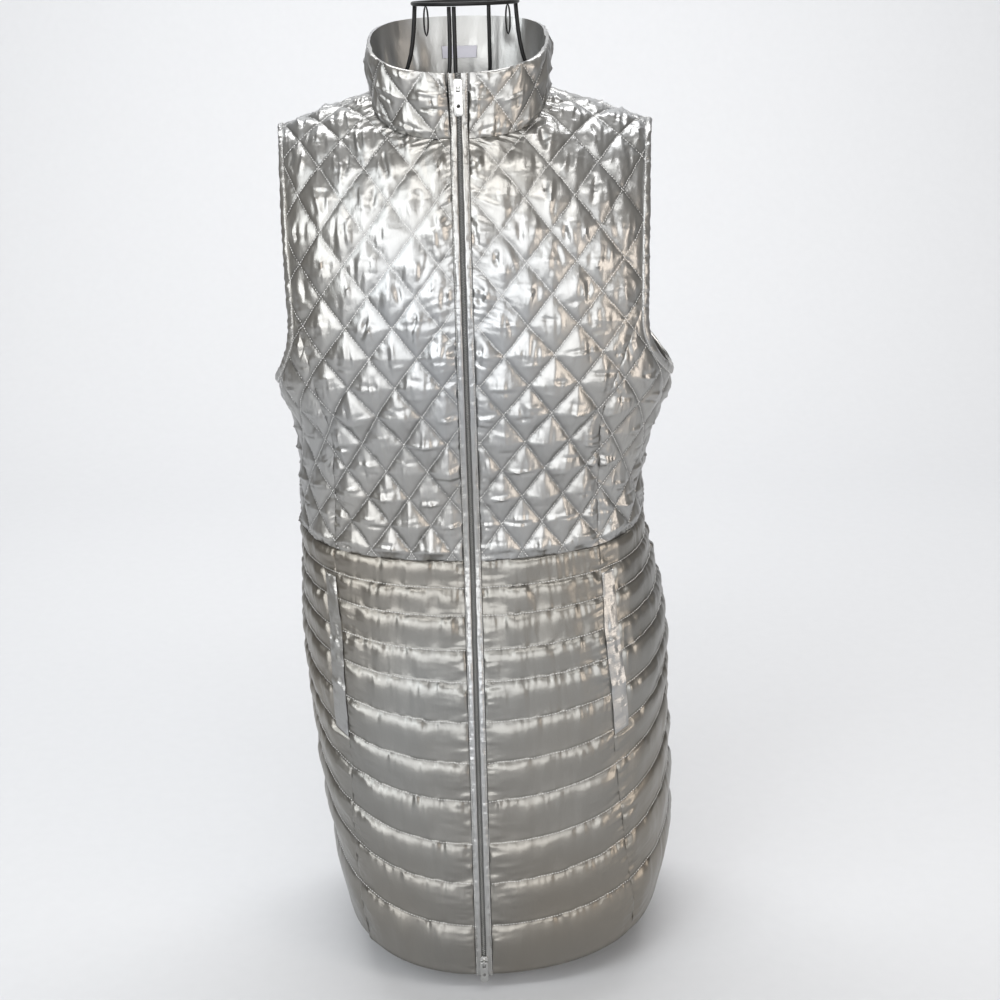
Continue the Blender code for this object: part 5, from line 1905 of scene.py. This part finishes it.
@dataclass
class Vest:
    """The quilted vest: panels, collar, bindings, welts and stitching.

    Attributes:
        figure: The figure that it hangs on.
        quilting_stitch: Pitch and half size of the quilting's stitches.
        top_stitch: Pitch and half size of the topstitching's.
        label: Half width in columns, heights, and distance off the collar of the bare label.
    """

    figure: Figure
    quilting_stitch: tuple[float, Place] = (0.0029, (0.00042, 0.00042, 0.00115))
    top_stitch: tuple[float, Place] = (0.0027, (0.00035, 0.00035, 0.0010))
    label: tuple[float, float, float, float] = (0.40, 0.030, 0.042, 0.0036)

    def __post_init__(self) -> None:
        """Lay out the pattern."""
        self.names = {-1: "left", 1: "right"}
        self.pattern = Pattern(self.figure)
        self.collar = CollarSurface(self.figure, self.pattern)
        self.binding = ArmholeBinding()
        self.welts = Welts()

    @staticmethod
    def side_patch(side: int, *edges: Line) -> Patch:
        """Return a patch given as on the right, mirrored for the left side.

        Args:
            side: -1 for the left, 1 for the right.
            edges: Bottom, top, left and right edge.

        Returns:
            The patch.
        """
        if side > 0:
            return Patch(*edges)
        bottom, top, left, right = map(mirrored, edges)
        return Patch(bottom[::-1], top[::-1], right, left)

    @staticmethod
    def gathers(edges: Sequence[Edge], *sizes: Place) -> tuple[Gather, ...]:
        """Return the folds at edges, from the height, spacing and reach of each."""
        return tuple(Gather(edge, *size) for edge, size in zip(edges, sizes))

    def clear_armholes(self, *sides: int) -> Press:
        """Return what keeps the quilting flat under armholes' bindings.

        Args:
            sides: The armholes' sides.

        Returns:
            The function.
        """
        flat = self.binding.width + 0.0005
        armholes = [[even_line(self.pattern.armhole(side, UNDERARM, back), 60) * (side, 1)
                     for back in (False, True)] for side in sides]
        for side, lines in zip(sides, armholes):
            if side < 0:
                lines[1] = lines[1] + (2 * CENTRE_BACK, 0)

        def pressed(cloth: Array, relief: Array) -> Array:
            """Return the relief, flat beside the armholes."""
            for lines in armholes:
                away = np.minimum(*(away_from(line, cloth) for line in lines))
                relief = relief * np.clip((away - flat) / 0.009, 0, 1) ** 0.6
            return relief

        return pressed

    def front_panel(self, side: int) -> QuiltedPanel:
        """Return a bodice front panel.

        Args:
            side: -1 for the left, 1 for the right.

        Returns:
            The panel.
        """
        pattern, name = self.pattern, self.names[side]
        edge = pattern.band_edge(side, FRONT_NECK)
        neck = [point for point in pattern.neck(side, False) if point[0] > edge]
        neck.append((edge, neck[-1][1]))
        armhole = pattern.armhole(side, pattern.top, False)
        waist = [(pattern.band_edge(side, WAIST), WAIST), (float(pattern.princess[side](WAIST)), WAIST)]
        patch = self.side_patch(
            side, waist, [neck[0], armhole[-1]],
            pattern.band_line(side, WAIST, neck[-1][1]) + neck[::-1][1:],
            pattern.princess_line(side, WAIST, pattern.top)[:-1] + armhole)
        edges = [Edge.LEFT, Edge.RIGHT][::side] + [Edge.BOTTOM, Edge.TOP]
        gathers = self.gathers(edges, (0.0017, 0.0062, 0.013), (0.0012, 0.0060, 0.012),
                               (0.0006, 0.0060, 0.008), (0.0008, 0.0070, 0.010))
        return QuiltedPanel(f"front_bodice_{name}", f"bodice_front_{name}", patch, self.figure.points,
                            DiamondQuilting(DIAMOND_PHASE[side]), gathers, (0.19, 0.52), 0.077,
                            pressed=self.clear_armholes(side))

    def side_panel(self, side: int) -> QuiltedPanel:
        """Return a bodice side panel.

        Args:
            side: -1 for the left, 1 for the right.

        Returns:
            The panel.
        """
        pattern, name = self.pattern, self.names[side]
        corner = pattern.armhole(side, pattern.top, False)[0]
        armhole = [point for point in pattern.armhole(side, UNDERARM, False)
                   if point[1] < pattern.top - 0.0025]
        patch = self.side_patch(
            side, [(float(pattern.princess[side](WAIST)), WAIST), (SIDE_SEAM, WAIST)],
            [corner] + armhole[::-1],
            pattern.princess_line(side, WAIST, pattern.top)[:-1] + [corner],
            [(SIDE_SEAM, WAIST), (SIDE_SEAM, UNDERARM)])
        gathers = self.gathers([Edge.LEFT, Edge.RIGHT, Edge.TOP, Edge.BOTTOM],
                               (0.0010, 0.0055, 0.011), (0.0010, 0.0055, 0.011),
                               (0.0011, 0.0060, 0.012), (0.0006, 0.0060, 0.008))
        return QuiltedPanel(f"side_bodice_{name}", f"bodice_side_{name}", patch, self.figure.points,
                            DiamondQuilting(DIAMOND_PHASE[side], puff=0.0033, seed=6), gathers,
                            (0.15, 0.26), 0.026, pressed=self.clear_armholes(side))

    def back_panel(self) -> QuiltedPanel:
        """Return the bodice back."""
        pattern, last = self.pattern, 2 * CENTRE_BACK - SIDE_SEAM
        right = pattern.armhole(1, UNDERARM, True)
        left = mirrored(pattern.armhole(-1, UNDERARM, True), CENTRE_BACK)
        neck = pattern.neck(1, True) + mirrored(pattern.neck(-1, True), CENTRE_BACK)[::-1][1:]
        patch = Patch([(SIDE_SEAM, WAIST), (last, WAIST)], [right[-1], *neck, left[-1]],
                      [(SIDE_SEAM, WAIST), *right], [(last, WAIST), *left], step=0.0023)
        gathers = self.gathers([Edge.LEFT, Edge.RIGHT, Edge.TOP, Edge.BOTTOM],
                               (0.0009, 0.0060, 0.012), (0.0009, 0.0060, 0.012),
                               (0.0008, 0.0070, 0.010), (0.0006, 0.0060, 0.008))
        return QuiltedPanel("back_bodice", "bodice_back", patch, self.figure.points,
                            DiamondQuilting(0.0), gathers, (0.53, 0.51), 0.205,
                            rests_on=("form_left_wire_back", "form_right_wire_back"),
                            pressed=self.clear_armholes(1, -1))

    def skirt_panel(self, name: str, node: str, first: Line, last: Line, size: Place,
                    step: float = 0.0018, pressed: Press | None = None) -> QuiltedPanel:
        """Return a skirt panel between two upward edges.

        Args:
            name: The piece's name.
            node: The CAD node that it stands for.
            first, last: Its left and right edges.
            size: Width, length and area of its cut.
            step: Wanted distance between its points.
            pressed: What presses it flat in places.

        Returns:
            The panel.
        """
        patch = Patch([first[0], last[0]], [first[-1], last[-1]], first, last, step)
        fold = (0.0013, 0.0060, 0.012)
        gathers = self.gathers([Edge.LEFT, Edge.RIGHT], fold, fold)
        return QuiltedPanel(name, node, patch, self.figure.points, ChannelQuilting(), gathers,
                            size[:2], size[2], pressed=pressed)

    def skirt(self) -> list[QuiltedPanel]:
        """Return the skirt's five panels."""
        pattern, panels = self.pattern, []
        seam = [(SIDE_SEAM, up) for up in np.linspace(HEM, WAIST, 40)]
        for side, name in self.names.items():
            band = pattern.band_line(side, HEM, WAIST)
            princess = pattern.princess_line(side, HEM, WAIST)
            front, flank = (band, princess), (princess, seam)
            if side < 0:
                front, flank = (tuple(map(mirrored, pair[::-1])) for pair in (front, flank))
            panels += [
                self.skirt_panel(f"front_skirt_{name}", f"skirt_front_{name}", *front,
                                 (0.16, 0.45, 0.061)),
                self.skirt_panel(f"side_skirt_{name}", f"skirt_side_{name}", *flank,
                                 (0.17, 0.43, 0.063), pressed=self.welts.press(pattern, side))]
        panels.append(self.skirt_panel("back_skirt", "skirt_back", seam, mirrored(seam, CENTRE_BACK),
                                       (0.59, 0.45, 0.24), 0.0024))
        return panels

    def collar_panel(self) -> QuiltedPanel:
        """Return the stand collar."""
        gathers = self.gathers([Edge.LEFT, Edge.RIGHT, Edge.BOTTOM, Edge.TOP],
                               (0.0012, 0.0060, 0.012), (0.0012, 0.0060, 0.012),
                               (0.0009, 0.0055, 0.011), (0.0010, 0.0055, 0.013))
        return QuiltedPanel("stand_collar", "collar", self.collar.patch(), self.collar.points,
                            DiamondQuilting(DIAMOND_PHASE[1], puff=0.0032, fade=0.008, seed=8), gathers,
                            (0.54, 0.072), 0.031, wall=0.0026, skip=2, lining=0.0020)

    def build(self, repeat: RepeatTree) -> None:
        """Build the vest.

        Args:
            repeat: The tree that makes the stitches.
        """
        upper = [make(side) for make in (self.front_panel, self.side_panel) for side in self.names]
        upper += [self.back_panel(), self.collar_panel()]
        # The skirt takes the darker copy of the satin, as painted shade.
        parts = (("upper", upper, Finish.DIAMOND_SATIN), ("lower", self.skirt(), Finish.CHANNEL_SATIN_PAINTED_SHADE))
        for _, panels, finish in parts:
            for panel in panels:
                panel.build(finish.material())
        for name, panels, _ in parts:
            lines = [line for panel in panels for line in panel.stitch_lines()]
            repeat.along(f"quilting_stitches_{name}", lines, *self.quilting_stitch, Finish.THREAD,
                         SATIN_SLOT)
        front, closing, seams = FrontEdge(self.figure, self.collar), FrontZip(), []
        for side, name in self.names.items():
            seams += closing.band(front, side, name)
            seams += self.binding.build(self.figure, self.pattern, side, name)
            self.welts.build(self.figure, self.pattern, side, name)
        closing.chain(front, repeat)
        repeat.along("topstitching", seams, *self.top_stitch, Finish.THREAD, SATIN_SLOT, seed=2)
        for place in ("top", "bottom"):
            closing.metal(f"zip_slider_{place}", f"slider_{place}", BODY, 0.0004)
            closing.metal(f"zip_pull_{place}", f"pull_{place}", f"{place}_pull", 0.0003)
        self.bare_label()

    def bare_label(self) -> None:
        """Build the bare label inside the back of the collar."""
        columns, rows = 33, 9
        half, low, high, away = self.label
        across = self.collar.run[-1] / 2 + np.linspace(-half, half, columns)
        cloth = np.stack(np.meshgrid(across, np.linspace(low, high, rows)), -1)
        normals = normals_of(self.collar.points, cloth)
        wave = 0.0004 * ripple(cloth[..., 0] / 0.3, cloth[..., 1] / 0.01, 12)
        near = self.collar.points(cloth) - normals * (away + wave)[..., None]
        points = np.vstack((near.reshape(-1, 3), (near - normals * 0.0005).reshape(-1, 3)))
        flat = np.vstack((cloth.reshape(-1, 2), cloth.reshape(-1, 2))) * FLAT
        shape_of("bare_label", points, wall_faces(rows, columns, 1), Finish.LABEL.material(), flat)


@dataclass(frozen=True)
class SoftBox:
    """A soft light.

    Attributes:
        name: Its name.
        place: Its place.
        size: Its width and height.
        power: Its power in watts.
        colour: Its colour.
        target: The place that it looks at.
    """

    name: str
    place: Place
    size: tuple[float, float]
    power: float
    colour: Place
    target: Place = (0.0, 0.0, 0.55)

    def build(self) -> None:
        """Add the light."""
        lamp = bpy.data.lights.new(self.name, "AREA")
        lamp.shape = "RECTANGLE"
        lamp.size, lamp.size_y = self.size
        lamp.energy, lamp.color = self.power, self.colour
        box = linked(self.name, lamp)
        box.location = self.place
        ahead = Vector(self.target) - Vector(self.place)
        box.rotation_euler = ahead.to_track_quat("-Z", "Y").to_euler()
        box.visible_camera = False


@dataclass(frozen=True)
class Studio:
    """The floor, the lights and the camera.

    Attributes:
        shift: How far the frame lies from the figure's own middle, across and back.
        eye: The camera's place from the figure's middle.
        pitch: How far it looks down, in degrees.
        roll: How far the picture leans to the left, in degrees.
        lens: Focal length in millimetres.
        exposure: The picture's exposure.
        room: Colour and strength of the room's even light.
        lights: The soft boxes.
        half_floor: Half width of the floor, and how far it runs to the front.
        sweep: Where the floor starts to curve up behind the form, and the curve's radius.
        wall: Height of the floor's end behind.
    """

    shift: tuple[float, float]
    eye: Place = (0.0295, -1.728, 1.055)
    pitch: float = 18.0
    roll: float = 1.5
    lens: float = 60.95
    exposure: float = 0.26
    room: tuple[Place, float] = ((1.0, 0.95, 0.88), 0.24)
    lights: tuple[SoftBox, ...] = (
        SoftBox("key", (-1.7, -1.9, 2.2), (1.8, 1.8), 26.0, (0.94, 0.98, 1.0)),
        SoftBox("front", (-0.4, -3.0, 1.32), (3.4, 2.0), 50.0, (0.98, 0.99, 1.0)),
        SoftBox("strip", (0.2, -1.5, 2.7), (2.2, 0.4), 16.0, (1.0, 0.99, 0.97)),
        SoftBox("fill", (1.8, -1.5, 0.8), (0.7, 1.2), 9.0, (1.0, 0.88, 0.77)),
        SoftBox("backdrop", (0.0, 1.0, 3.2), (3.0, 1.0), 80.0, (1.0, 1.0, 1.0), (0.0, 2.3, 0.4)),
    )
    half_floor: float = 6.0
    sweep: tuple[float, float] = (1.6, 1.2)
    wall: float = 5.0

    def build(self) -> None:
        """Build all of it."""
        self.floor()
        for light in self.lights:
            light.build()
        view = bpy.context.scene.view_settings
        view.view_transform, view.exposure = "Standard", self.exposure
        self.world()
        self.camera()

    def floor(self) -> None:
        """Build the floor, curved up behind the form."""
        start, radius = self.sweep
        rows = [(-self.half_floor, 0.0), (-1.0, 0.0), (start, 0.0)]
        rows += [(start + radius * math.sin(a), radius - radius * math.cos(a))
                 for a in np.linspace(0.1, math.pi / 2, 16)]
        rows.append((start + radius, self.wall))
        points = [(x, y, z) for y, z in rows for x in (-self.half_floor, self.half_floor)]
        faces = [(2 * k, 2 * k + 1, 2 * k + 3, 2 * k + 2) for k in range(len(rows) - 1)]
        mesh = bpy.data.meshes.new("floor")
        mesh.from_pydata(points, [], faces)
        mesh.materials.append(Finish.FLOOR.material())
        mesh.shade_smooth()
        linked("floor", mesh)

    def world(self) -> None:
        """Light the room evenly."""
        world = bpy.data.worlds.new("room")
        world.use_nodes = True
        graph, (colour, strength) = Graph(world.node_tree), self.room
        shader = graph.add("ShaderNodeBackground", None, {"Color": (*colour, 1), "Strength": strength})
        graph.add("ShaderNodeOutputWorld", None, {"Surface": graph.out(shader)})
        bpy.context.scene.world = world

    def camera(self) -> None:
        """Add the camera at the photograph's place."""
        data = bpy.data.cameras.new("camera")
        data.lens, data.sensor_width = self.lens, 36.0
        camera = linked("camera", data)
        turn = Euler((math.radians(90 - self.pitch), 0, 0)).to_matrix()
        turn = turn @ Matrix.Rotation(math.radians(-self.roll), 3, "Z")
        place = Vector(self.eye) + Vector((*self.shift, 0.0))
        camera.matrix_world = Matrix.Translation(place) @ turn.to_4x4()
        bpy.context.scene.camera = camera


def main() -> None:
    """Build the studio, the form and the vest."""
    logging.basicConfig(level=logging.INFO, format="%(message)s")
    low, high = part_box("form_neck_ring")
    figure = Figure(((low[0] + high[0]) / 2 - FORM_X, (low[1] + high[1]) / 2))
    Studio(figure.shift).build()
    Vest(figure).build(RepeatTree("bars_along_lines"))
    DressForm().build()


if __name__ == "__main__":
    main()
